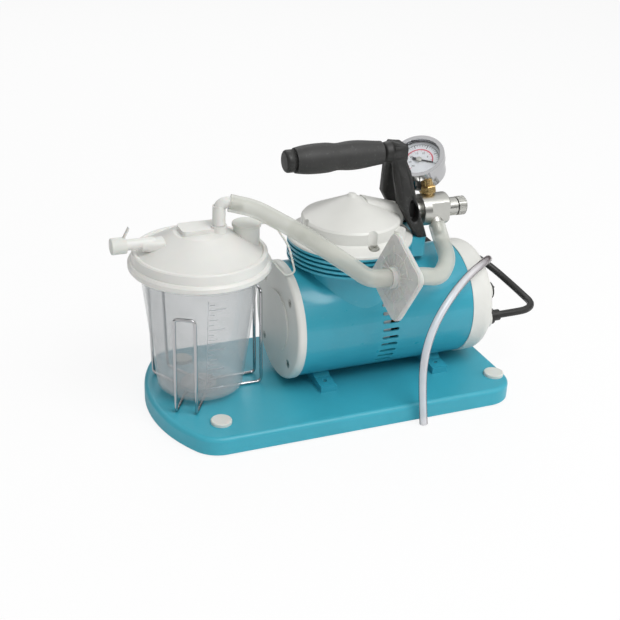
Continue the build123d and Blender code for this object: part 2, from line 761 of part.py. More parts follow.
fan_x = stator_left + stator_length + 9.6
with BuildPart() as cooling_fan:
    add(x_cylinder(fan_x, fan_x + 8, shaft_r + 5, inner_r=shaft_r))
    for index in range(7):
        a = radians(index * 360 / 7)
        mid = (shaft_r + 4 + 36) / 2
        plane = Plane(
            origin=(fan_x, motor_y + mid * cos(a), motor_z + mid * sin(a)),
            x_dir=(0, cos(a), sin(a)), z_dir=(1, 0, 0),
        )
        with BuildSketch(plane):
            Rectangle(36 - shaft_r - 4, 2.0)
        extrude(amount=7)
    add(x_cylinder(fan_x, fan_x + 1.5, 36, inner_r=shaft_r))
keep("cooling_fan", cooling_fan.part)

# crank: an eccentric on the shaft end, a ball bearing on it and the rod up to the diaphragm
crank_z = motor_z + crank_throw
rod_left = pump_x - rod_width / 2
with BuildPart() as eccentric:
    add(x_cylinder(rod_left - 1.0, rod_left + rod_width + 10.0, 9.0, z=crank_z))
    with BuildSketch(facing_x(rod_left + rod_width + 1.5, motor_y, motor_z)):
        with BuildLine():
            Line((-17, -4), (17, -4))
            ThreePointArc((17, -4), (0, -21), (-17, -4))
        make_face()
        Circle(10)
    extrude(amount=8.5)
    add(x_cylinder(shaft_left - 5, rod_left + rod_width + 20.0, shaft_r), mode=Mode.SUBTRACT)
keep("eccentric", eccentric.part)
keep(
    "crank_bearing",
    x_cylinder(rod_left + 0.5, rod_left + rod_width - 0.5, 15.0, z=crank_z, inner_r=9.0 + running_gap),
)

plate_bottom = fin_bottom + fin_pitch * (fin_count - 1) + fin_thickness
diaphragm_z = plate_bottom - diaphragm_thickness - 3.5
with BuildPart() as connecting_rod:
    add(x_cylinder(rod_left, rod_left + rod_width, 20.0, z=crank_z, inner_r=15.0 + seat_gap))
    with BuildSketch(facing_x(rod_left, motor_y, 0)):
        with BuildLine():
            Polyline(
                (-8, crank_z + 17), (8, crank_z + 17), (5.5, diaphragm_z - 6), (-5.5, diaphragm_z - 6),
                close=True,
            )
        make_face()
    extrude(amount=rod_width)
    add(z_cylinder(pump_x, motor_y, diaphragm_z - 6, diaphragm_z - 0.4, 20.0))

# finned pump housing
head_screw_places = [
    (pump_x + head_screw_pcd_r * cos(radians(a)), motor_y + head_screw_pcd_r * sin(radians(a)))
    for a in (-88, 2, 92, 182)
]
lug_left = pump_x + 40.0
lug_right = 97.0
lug_half_width = 25.0
lug_y = 7.0
with BuildPart() as finned_housing:
    add(z_cylinder(pump_x, motor_y, motor_z + 10, fin_bottom + 1, neck_r))
    add(z_cylinder(pump_x, motor_y, fin_bottom, plate_bottom, fin_core_r))
    for index in range(fin_count):
        z = fin_bottom + index * fin_pitch
        add(z_cylinder(pump_x, motor_y, z, z + fin_thickness, fin_r))
    with Locations(((lug_left + lug_right) / 2, lug_y, (fin_bottom + plate_bottom) / 2)):
        Box(lug_right - lug_left, 2 * lug_half_width, plate_bottom - fin_bottom)
    fillet(finned_housing.edges().filter_by(Axis.Z).sort_by(Axis.X)[-2:], 5.0)
    add(x_cylinder(shell_left, shell_right, motor_r), mode=Mode.SUBTRACT)
    add(z_cylinder(pump_x, motor_y, motor_z - 10, plate_bottom + 1, neck_r - neck_wall), mode=Mode.SUBTRACT)
    for x, y in head_screw_places:
        with Locations((x, y, plate_bottom)):
            Cylinder(2.1, 30, mode=Mode.SUBTRACT)
keep("finned_housing", finned_housing.part)

# diaphragm clamped between the housing and the head; it hangs on the rod
with BuildPart() as diaphragm:
    diaphragm_r = neck_r - neck_wall - sliding_gap
    add(z_cylinder(pump_x, motor_y, diaphragm_z, diaphragm_z + diaphragm_thickness, diaphragm_r, 3.1))
keep("diaphragm", diaphragm.part)
with connecting_rod:
    # stud and retaining disc that pinch the diaphragm on the rod
    add(z_cylinder(pump_x, motor_y, diaphragm_z - 1.0, diaphragm_z + diaphragm_thickness + 1.0, 3.0))
    disc_z = diaphragm_z + diaphragm_thickness
    add(z_cylinder(pump_x, motor_y, disc_z, disc_z + 2.0, 17.0))
keep("connecting_rod", connecting_rod.part)

cover_flange_top = plate_bottom + cover_flange_thickness
cover_profile = [
    (cover_drum_r - cover_wall, plate_bottom + 4.0),
    (cover_drum_r - cover_wall, plate_bottom),
    (fin_r, plate_bottom),
    (fin_r, cover_flange_top - 1.0),
    (fin_r - 1.0, cover_flange_top),
    (cover_drum_r + 1.5, cover_shoulder_z - 1.2),
    (cover_drum_r, cover_shoulder_z),
    (cover_drum_r, cover_edge_z - 2.0),
    (cover_drum_r - 1.6, cover_edge_z),
    (6.0, cover_apex_z - 3.0),
    (3.5, cover_apex_z - 0.6),
    (0, cover_apex_z),
    (0, cover_apex_z - cover_wall - 2),
    (5.0, cover_apex_z - cover_wall - 5.0),
    (cover_drum_r - cover_wall, cover_edge_z - cover_wall),
]
boss_r = 7.0
boss_places = [(pump_x + 33.0, motor_y - 35.0)]
manifold_x = pump_x + 44.0
valve_plate_top = plate_bottom + 4.0
foot_box = (11.0, 12.0)
with BuildPart() as head_cover:
    add(revolved(cover_profile, pump_x, motor_y))
    for x, y in boss_places:
        with BuildSketch(Plane.XY.offset(cover_flange_top - 1.5)):
            with Locations((x, y)):
                Circle(boss_r)
        extrude(amount=173.5 - cover_flange_top + 1.5)
    # duct hump towards the manifold
    with BuildSketch(facing_x(pump_x + 12, motor_y, 0)):
        with Locations((0, 182.0)):
            RectangleRounded(22, 26, 6)
    with BuildSketch(facing_x(manifold_x + 6, motor_y, 0)):
        with Locations((0, regulator_z - 1)):
            RectangleRounded(22, 20, 6)
    loft()
    add(revolved(
        [
            (0, plate_bottom), (cover_drum_r - cover_wall, plate_bottom),
            (cover_drum_r - cover_wall, cover_edge_z - cover_wall), (5.0, cover_apex_z - cover_wall - 5.0),
            (0, cover_apex_z - cover_wall - 2),
        ],
        pump_x, motor_y,
    ), mode=Mode.SUBTRACT)
    for x, y in head_screw_places:
        with Locations((x, y, cover_flange_top + 1.6)):
            Cylinder(5.4, 30, align=(Align.CENTER, Align.CENTER, Align.MIN), mode=Mode.SUBTRACT)
            Cylinder(2.1, 30, mode=Mode.SUBTRACT)
    with BuildSketch(facing_x(pump_x + 20, motor_y, regulator_z)):
        Circle(manifold_r + seat_gap)
    extrude(amount=60, mode=Mode.SUBTRACT)
keep("head_cover", head_cover.part)

with BuildPart() as head_screws:
    for x, y in head_screw_places:
        with Locations((x, y, cover_flange_top + 1.6)):
            Cylinder(4.4, 2.6, align=(Align.CENTER, Align.CENTER, Align.MIN))
            Cylinder(2.0, 12.0, align=(Align.CENTER, Align.CENTER, Align.MAX))
        with Locations((x, y, cover_flange_top + 1.6 + 2.6)):
            Box(5.6, 1.1, 2.0, mode=Mode.SUBTRACT)
            Box(1.1, 5.6, 2.0, mode=Mode.SUBTRACT)
keep("head_screws", head_screws.part)

with BuildPart() as valve_plate:
    add(z_cylinder(pump_x, motor_y, plate_bottom, valve_plate_top, cover_drum_r - cover_wall - seat_gap))
    with Locations((pump_x, motor_y, plate_bottom)):
        with Locations((0, 15, 0), (0, -15, 0)):
            Cylinder(3.0, 20, mode=Mode.SUBTRACT)
    # reed over each port, above for the intake and below for the outlet
    with Locations((pump_x, motor_y + 12, valve_plate_top), (pump_x, motor_y - 12, plate_bottom - 0.5)):
        Box(9, 18, 0.5, align=(Align.CENTER, Align.CENTER, Align.MIN))
keep("valve_plate", valve_plate.part)

# manifold and regulator
with BuildPart() as intake_manifold:
    add(x_cylinder(pump_x + 30, regulator_left - 4, manifold_r, z=regulator_z, inner_r=3.5))
    add(x_cylinder(manifold_x + 6, manifold_x + 10, manifold_r + 2.0, z=regulator_z, inner_r=3.5))
keep("intake_manifold", intake_manifold.part)

seat_x = collar_end - 6.0
stem_r = 3.0
knob_start = collar_end + 1.2
with BuildPart() as regulator_body:
    add(x_cylinder(regulator_left, regulator_right, regulator_r, z=regulator_z))
    fillet(regulator_body.edges().filter_by(GeomType.CIRCLE), 1.5)
    add(x_cylinder(regulator_left - 4, regulator_left + 2, manifold_r + 3.5, z=regulator_z))
    # wrench flats, front and back
    for side in (-1, 1):
        with Locations((regulator_left + 19, motor_y + side * (regulator_r + 2), regulator_z)):
            Box(21, 11, 40, mode=Mode.SUBTRACT)
    add(x_cylinder(regulator_right - 1, collar_end, collar_r, z=regulator_z))
    add(x_cylinder(collar_end - 14.0, collar_end + 1, 6.5, z=regulator_z), mode=Mode.SUBTRACT)
    add(x_cylinder(regulator_left - 5, collar_end - 20, 3.5, z=regulator_z), mode=Mode.SUBTRACT)
    with BuildSketch(Plane(origin=regulator_barb_root - regulator_barb_dir * 6, z_dir=regulator_barb_dir)):
        Circle(6.8)
    extrude(amount=6 + 5.5)
    with BuildSketch(Plane(origin=regulator_barb_root, z_dir=regulator_barb_dir)):
        Circle(hose_bore_r - seat_gap)
    extrude(amount=5.5 + barb_length)
    with BuildSketch(Plane(origin=regulator_barb_root - regulator_barb_dir * 6, z_dir=regulator_barb_dir)):
        Circle(2.5)
    extrude(amount=40, mode=Mode.SUBTRACT)
keep("regulator_body", regulator_body.part)

with BuildPart() as regulator_stem:
    add(x_cylinder(seat_x - 2.0, seat_x, 6.5 - sliding_gap, z=regulator_z))
    add(x_cylinder(seat_x, knob_start + 4.0, stem_r, z=regulator_z))
keep("regulator_stem", regulator_stem.part)
keep(
    "collar_ring",
    x_cylinder(collar_end, knob_start - 0.1, collar_r - 1.0, z=regulator_z, inner_r=stem_r + 1.0),
)
with BuildPart() as regulator_knob:
    add(x_cylinder(knob_start, knob_start + knob_length, knob_r, z=regulator_z))
    chamfer(regulator_knob.edges().filter_by(GeomType.CIRCLE).sort_by(Axis.X)[-1], 1.0)
    with BuildSketch(facing_x(knob_start - 1, motor_y, regulator_z)):
        with PolarLocations(knob_r, 24):
            Circle(0.45)
    extrude(amount=knob_length, mode=Mode.SUBTRACT)
    add(x_cylinder(knob_start - 1, knob_start + 4.2, stem_r + running_gap, z=regulator_z), mode=Mode.SUBTRACT)
keep("regulator_knob", regulator_knob.part)
spring_left = collar_end - 14.0
keep(
    "regulator_spring",
    x_cylinder(spring_left, seat_x - 2.0 - 0.1, 5.0, z=regulator_z, inner_r=3.8),
)

# gauge on its brass elbow
gauge_plane = Plane(origin=gauge_centre, x_dir=(0.9, -0.2, 0.37), z_dir=gauge_normal)
ring_depth = 6.0
with BuildPart() as gauge_case:
    with BuildSketch(gauge_plane.offset(-gauge_depth)):
        Circle(gauge_case_r)
    extrude(amount=gauge_depth - 3.0)
    fillet(gauge_case.faces().sort_by(Axis(gauge_centre, gauge_normal))[0].edges(), 2.0)
    with BuildSketch(gauge_plane.offset(-gauge_depth + 2)):
        Circle(gauge_case_r - 1.5)
    extrude(amount=gauge_depth, mode=Mode.SUBTRACT)
keep("gauge_case", gauge_case.part)
with BuildPart() as gauge_bezel:
    with BuildSketch(gauge_plane.offset(-ring_depth)):
        Circle(gauge_ring_r)
        Circle(gauge_case_r + seat_gap, mode=Mode.SUBTRACT)
    extrude(amount=ring_depth)
    with BuildSketch(gauge_plane.offset(-0.01)):
        Circle(gauge_ring_r)
        Circle(gauge_case_r - 2.5, mode=Mode.SUBTRACT)
    extrude(amount=1.2)
keep("gauge_bezel", gauge_bezel.part)
with BuildPart() as gauge_lens:
    with BuildSketch(gauge_plane.offset(-3.0)):
        Circle(gauge_case_r)
    extrude(amount=2.9)
    with BuildSketch(gauge_plane.offset(-3.0)):
        Circle(gauge_case_r - 3.0)
    extrude(amount=1.2, mode=Mode.SUBTRACT)
keep("gauge_lens", gauge_lens.part)
with BuildPart() as gauge_dial:
    with BuildSketch(gauge_plane.offset(-7.0)):
        Circle(gauge_case_r - 1.6)
    extrude(amount=1.0)
    with BuildSketch(gauge_plane.offset(-gauge_depth + 2)):
        Circle(9)
    extrude(amount=gauge_depth - 9)
keep("gauge_dial", gauge_dial.part)
with BuildPart() as gauge_pointer:
    with BuildSketch(gauge_plane.offset(-5.2)):
        Circle(2.6)
        with Locations((7, 0)):
            Rectangle(16, 1.0)
        with Locations((-4, 0)):
            Rectangle(5, 2.4)
    extrude(amount=0.8)
keep("gauge_pointer", gauge_pointer.part)

gauge_back = gauge_centre - gauge_normal * gauge_depth
nipple_foot = Vector(110.0, 12.0, regulator_z + 9.0)
stem_dir = gauge_normal
gauge_elbow = gauge_back - stem_dir * gauge_stem_length
with BuildPart() as gauge_fitting:
    with BuildSketch(Plane(origin=gauge_elbow - stem_dir * 4, z_dir=stem_dir)):
        RegularPolygon(8.0, 6)
    extrude(amount=4 + (gauge_back - gauge_elbow).length * 0.45)
    with BuildSketch(Plane(origin=gauge_elbow, z_dir=stem_dir)):
        Circle(5.0)
    extrude(amount=(gauge_back - gauge_elbow).length)
    low_dir = (nipple_foot - gauge_elbow).normalized()
    with BuildSketch(Plane(origin=gauge_elbow - low_dir * 2, z_dir=low_dir)):
        RegularPolygon(7.0, 6)
    extrude(amount=(nipple_foot - gauge_elbow).length * 0.6)
    with BuildSketch(Plane(origin=gauge_elbow, z_dir=low_dir)):
        Circle(5.0)
    extrude(amount=(nipple_foot - gauge_elbow).length)
    seat_r = regulator_r + seat_gap
    add(x_cylinder(regulator_left - 4, regulator_right, seat_r, z=regulator_z), mode=Mode.SUBTRACT)
keep("gauge_fitting", gauge_fitting.part)

# handle
foot_x = 91.0
with BuildPart() as handle_bracket:
    with BuildSketch(facing_x(grip_right, handle_y, grip_z)):
        Circle(11.0)
    with BuildSketch(facing_x(elbow_centre_x - 6, handle_y, grip_z)):
        Circle(13.0)
    loft()
    with BuildSketch(facing_x(elbow_centre_x - 6, handle_y, grip_z)):
        RectangleRounded(25.6, 25.6, 8)
    extrude(amount=16)
    add(x_cylinder(grip_left - 1, grip_right + 1, grip_bore_r, y=handle_y, z=grip_z))
    add(x_cylinder(grip_left - 10, grip_left, 10.5, y=handle_y, z=grip_z))
    fillet(handle_bracket.edges().filter_by(GeomType.CIRCLE).sort_by(Axis.X)[0], 3.0)
    for side in (-1, 1):
        reach = 16.0 if side < 0 else 21.0
        with BuildSketch(Plane.XY.offset(grip_z - 4)):
            with Locations((elbow_centre_x + 1, handle_y + side * 6)):
                RectangleRounded(17, 12, 4)
        with BuildSketch(Plane.XY.offset(grip_z - 46)):
            with Locations((elbow_centre_x + 8, handle_y + side * reach)):
                RectangleRounded(19, 13, 4)
        with BuildSketch(Plane.XY.offset(plate_bottom)):
            with Locations((foot_x, handle_y + side * (reach + 1))):
                RectangleRounded(foot_box[0], foot_box[1], 3)
        loft(ruled=True)
    # oval pocket in the front leg, above its screw
    with BuildSketch(Plane.XZ.offset(-handle_y + 40)) as pocket:
        with Locations((elbow_centre_x + 13, grip_z - 53)):
            Ellipse(5.0, 11.5, rotation=12)
    extrude(amount=-27, mode=Mode.SUBTRACT)
    # the feet stand just outside the flange of the head cover
    flange_zone = (plate_bottom - 1, cover_flange_top + 1)
    add(z_cylinder(pump_x, motor_y, *flange_zone, fin_r + sliding_gap), mode=Mode.SUBTRACT)
keep("handle_bracket", handle_bracket.part)

grip_profile = [
    (grip_left, 11.6), (-30, 12.4), (-6, 13.8), (0, 13.4), (6, 12.5), (14, 13.0), (24, 13.5), (38, 12.4),
    (grip_right, 10.9),
]
with BuildPart() as handle_grip:
    with BuildSketch(Plane(origin=(0, handle_y, grip_z), x_dir=(1, 0, 0), z_dir=(0, -1, 0))):
        with BuildLine():
            Spline(*grip_profile)
            Polyline(
                grip_profile[-1], (grip_right, grip_bore_r + seat_gap), (grip_left, grip_bore_r + seat_gap),
                grip_profile[0],
            )
        make_face()
    revolve(axis=Axis((0, handle_y, grip_z), (1, 0, 0)))
keep("handle_grip", handle_grip.part)

# switch, cord and drain tube
switch_y, switch_z = gland_places[0]
with BuildPart() as switch_bezel:
    add(x_cylinder(shell_right + 12.2, gland_x, 7.2 - seat_gap, y=switch_y, z=switch_z))
    add(x_cylinder(gland_x, gland_x + 3.0, 8.5, y=switch_y, z=switch_z))
    with BuildSketch(facing_x(gland_x - 6, switch_y, switch_z)):
        Rectangle(7.0, 11.6)
    extrude(amount=20, mode=Mode.SUBTRACT)
keep("switch_bezel", switch_bezel.part)
with BuildPart() as power_rocker:
    with BuildSketch(Plane(origin=(0, switch_y + 3.2, 0), x_dir=(1, 0, 0), z_dir=(0, -1, 0))):
        with BuildLine():
            Polyline(
                (gland_x - 2.0, switch_z - 5.0), (gland_x + 2.6, switch_z - 5.2), (gland_x + 4.0, switch_z),
                (gland_x + 6.0, switch_z + 4.6), (gland_x - 0.5, switch_z + 5.4), close=True,
            )
        make_face()
    extrude(amount=6.4)
keep("power_rocker", power_rocker.part)

cord_y, cord_z = gland_places[1]
relief_end = gland_x + 13.0
with BuildPart() as cord_relief:
    add(x_cylinder(shell_right + 12.2, gland_x, 7.2 - seat_gap, y=cord_y, z=cord_z, inner_r=cord_r))
    add(x_cylinder(gland_x, gland_x + 5.0, 8.2, y=cord_y, z=cord_z, inner_r=cord_r))
    add(x_cylinder(gland_x + 5.0, relief_end, 5.6, y=cord_y, z=cord_z, inner_r=cord_r))
keep("cord_relief", cord_relief.part)

coil_x = 118.0
coil_bundle = 15.6
coil_depth = 23.6
coil_y = motor_y + motor_r + 3.0 + coil_depth / 2
coil_outer_r = cord_coil_diameter / 2 + coil_bundle / 2
coil_z = base_top + coil_outer_r + 0.2
cord_points = [
    (gland_x, cord_y, cord_z),
    (213.0, cord_y, cord_z),
    (231.0, -10.0, cord_z - 4),
    (225.0, 22.0, cord_z - 1),
    (208.0, 52.0, cord_z + 3),
    (coil_x + coil_outer_r + 12.0, coil_y, coil_z + 2.0),
    (coil_x + coil_outer_r - 1.0, coil_y, coil_z),
]
cord_radii = bend_radii(cord_points)
print("cord radii", [round(r, 1) for r in cord_radii])
keep("power_cord", swept_tube(cord_points, cord_radii, cord_r), loose=True)
with BuildPart() as power_cord_coil:
    with BuildSketch(Plane(origin=(coil_x, coil_y, coil_z), x_dir=(1, 0, 0), z_dir=(0, -1, 0))):
        Circle(coil_outer_r)
        Circle(coil_outer_r - coil_bundle, mode=Mode.SUBTRACT)
    extrude(amount=coil_depth / 2, both=True)
    fillet(power_cord_coil.edges().filter_by(GeomType.CIRCLE), 5.0)
    # the last stretch runs on along the base to the plug
    tail = (coil_x - 2.0, coil_x - 46.0)
    tail_z = base_top + cord_r + 4.3
    add(x_cylinder(tail[1], tail[0], cord_r, y=coil_y, z=tail_z))
keep("power_cord_coil", power_cord_coil.part, loose=True)
plug_height = 2 * (tail_z - base_top - 0.2)
with BuildPart() as power_plug:
    with Locations((tail[1] - 20.0, coil_y, tail_z)):
        Box(40.0, 24.0, plug_height)
    fillet(power_plug.edges().filter_by(Axis.X), 5.0)
    for dy in (-6.3, 6.3):
        with Locations((tail[1] - 40.0 - 8.0, coil_y + dy, tail_z)):
            Box(17.0, 1.5, 6.3)
keep("power_plug", power_plug.part, loose=True)

# drain tube: stands on the floor before the base, passes over the motor's right shoulder
tube_points = [
    (66.0, -98.0, 0.3),
    (60.0, -98.0, 46.0),
    (64.0, -92.0, 76.0),
    (78.0, -81.0, 98.0),
    (101.0, -69.0, 119.0),
    (127.5, -51.5, 127.0),
    (148.8, -38.4, 129.8),
    (165.2, -23.6, 127.3),
    (175.5, 2.5, 109.5),
    (183.0, 32.0, 88.0),
    (186.0, 62.0, 62.0),
    (181.0, 92.0, 36.0),
    (162.0, 118.0, 16.0),
    (130.0, 134.0, 7.5),
]
tube_radii = bend_radii(tube_points)
print("tube radii", [round(r, 1) for r in tube_radii])
keep("drain_tube", swept_tube(tube_points, tube_radii, tube_r, 2.6), loose=True)
tube_coil_r = 44.0
tube_bundle = 16.0
tube_coil_height = 16.0
tube_end = Vector(*tube_points[-1])
tube_coil_centre = (tube_end.X - 24.0, tube_end.Y + 44.0)
with BuildPart() as drain_tube_coil:
    with BuildSketch():
        with Locations(tube_coil_centre):
            Circle(tube_coil_r + tube_bundle / 2)
            Circle(tube_coil_r - tube_bundle / 2, mode=Mode.SUBTRACT)
    extrude(amount=tube_coil_height)
    fillet(drain_tube_coil.edges().filter_by(GeomType.CIRCLE).group_by(Axis.Z)[-1], 5.0)
keep("drain_tube_coil", drain_tube_coil.part, loose=True)

# common step and export
fixed = [part for name, part in pieces.items() if name not in loose_nodes]
box = Compound(children=[part.moved(Location()) for part in fixed]).bounding_box()
step = Vector(-(box.min.X + box.max.X) / 2, -(box.min.Y + box.max.Y) / 2, 0)
print("step", step, "lowest", box.min.Z, "size", box.size)
for name, part in pieces.items():
    placed = part.moved(Location(step))
    placed.label = name
    export_step(placed, f"parts/{name}.step")
print(len(pieces), "nodes")
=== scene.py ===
"""Looks of the bench suction unit: finishes, fine detail, cords, camera and light."""

import logging
import math
from dataclasses import dataclass, field
from enum import Enum
from typing import Callable, Iterable, Sequence

import bmesh
import bpy
from mathutils import Matrix, Vector


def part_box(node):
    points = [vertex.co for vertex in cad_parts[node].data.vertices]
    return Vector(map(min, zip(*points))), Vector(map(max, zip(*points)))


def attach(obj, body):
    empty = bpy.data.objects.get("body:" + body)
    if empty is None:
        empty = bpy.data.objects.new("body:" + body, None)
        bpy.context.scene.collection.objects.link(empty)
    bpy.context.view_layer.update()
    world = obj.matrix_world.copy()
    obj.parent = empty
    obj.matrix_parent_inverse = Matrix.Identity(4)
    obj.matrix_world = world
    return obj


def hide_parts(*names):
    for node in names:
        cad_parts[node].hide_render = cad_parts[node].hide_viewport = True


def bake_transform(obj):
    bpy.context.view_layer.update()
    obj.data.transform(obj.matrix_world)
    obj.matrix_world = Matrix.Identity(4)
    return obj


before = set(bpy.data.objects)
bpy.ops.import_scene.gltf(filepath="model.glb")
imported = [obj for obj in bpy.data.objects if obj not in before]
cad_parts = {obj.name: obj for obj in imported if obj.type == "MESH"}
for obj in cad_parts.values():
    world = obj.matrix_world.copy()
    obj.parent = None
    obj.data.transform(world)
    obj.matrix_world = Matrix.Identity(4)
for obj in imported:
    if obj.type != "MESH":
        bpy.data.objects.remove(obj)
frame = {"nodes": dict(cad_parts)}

log = logging.getLogger("suction_unit")

MM = 0.001
STEP = Vector((12.75, 20.0385, 0.0))  # from the base-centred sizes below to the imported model's frame
Point = tuple[float, float, float]
Colour = tuple[float, float, float]
Pair = tuple[float, float]
Socket = bpy.types.NodeSocket


def at(x: float, y: float, z: float) -> Vector:
    """Turn base-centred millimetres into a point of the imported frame, in metres."""
    return (Vector((x, y, z)) + STEP) * MM


class Texture(Enum):
    """Kind of fine relief that a finish carries."""

    SMOOTH = "smooth"
    GRAIN = "grain"
    BRUSHED = "brushed"
    CAST = "cast"
    LAMINATED = "laminated"


WHITE = (1.0, 1.0, 1.0, 1.0)
UNIT = (0.0, 1.0)
COAT_ROUGHNESS = 0.12
SUBSURFACE_SCALE = 0.004  # metres
MOTTLE_BAND = (0.35, 0.65)
DUST_BAND = (0.6, 0.75)
DUST_SIZE = 2.2  # millimetres
DUST_COLOUR = (0.62, 0.62, 0.6, 1.0)
# band over which the painted edge shade blends in, standing in for refraction at the sides
EDGE_SHADE_BAND = (0.28, 0.62)  # from facing the viewer to seen along the surface
RELIEF_SHARE = 0.2  # height of the relief, as a share of its feature size


class Graph:
    """Node tree of a material or of the world, with short ways to add to it."""

    def __init__(self, owner: bpy.types.Material | bpy.types.World) -> None:
        """Empty the owner's tree.

        Args:
            owner: Material or world.
        """
        owner.use_nodes = True
        self.tree = owner.node_tree
        self.tree.nodes.clear()

    def add(self, kind: str, inputs: dict | None = None, **settings: str) -> bpy.types.Node:
        """Add a node.

        Args:
            kind: Type of the node after its prefix.
            inputs: A value, or a socket to link, by input.
            settings: Properties of the node.

        Returns:
            The node.
        """
        node = self.tree.nodes.new(f"ShaderNode{kind}")
        for name, value in settings.items():
            setattr(node, name, value)
        for key, value in (inputs or {}).items():
            if isinstance(value, Socket):
                self.tree.links.new(value, node.inputs[key])
            else:
                node.inputs[key].default_value = value
        return node

    def mapped(self, value: Socket, source: Pair, target: Pair) -> Socket:
        """Map a value from a source range to a target range."""
        ends = {"From Min": source[0], "From Max": source[1], "To Min": target[0], "To Max": target[1]}
        return self.add("MapRange", {"Value": value, **ends}).outputs["Result"]

    def ramp(self, factor: Socket, stops: Sequence[tuple[float, Colour]]) -> Socket:
        """Colour of a ramp between two stops.

        Args:
            factor: Socket of the place on the ramp.
            stops: Position and colour of each stop.

        Returns:
            The colour socket.
        """
        node = self.add("ValToRGB", {"Fac": factor})
        for element, (position, colour) in zip(node.color_ramp.elements, stops):
            element.position = position
            element.color = (*colour, 1.0)
        return node.outputs["Color"]

    def tinted(self, factor: Socket, colour: Socket, tint: Sequence[float]) -> Socket:
        """Mix a tint into a colour."""
        inputs = {"Factor": factor, "A": colour, "B": tint}
        return self.add("Mix", inputs, data_type="RGBA").outputs["Result"]

    def mixed(self, factor: Socket, first: bpy.types.Node, second: bpy.types.Node) -> bpy.types.Node:
        """Mix two shaders."""
        return self.add("MixShader", {0: factor, 1: first.outputs[0], 2: second.outputs[0]})

    def seen_directly(self) -> Socket:
        """One for rays from the camera or through glass, zero for others.

        Returns:
            The factor socket.
        """
        rays = self.add("LightPath").outputs
        inputs = {0: rays["Is Camera Ray"], 1: rays["Is Transmission Ray"]}
        return self.add("Math", inputs, operation="MAXIMUM").outputs[0]


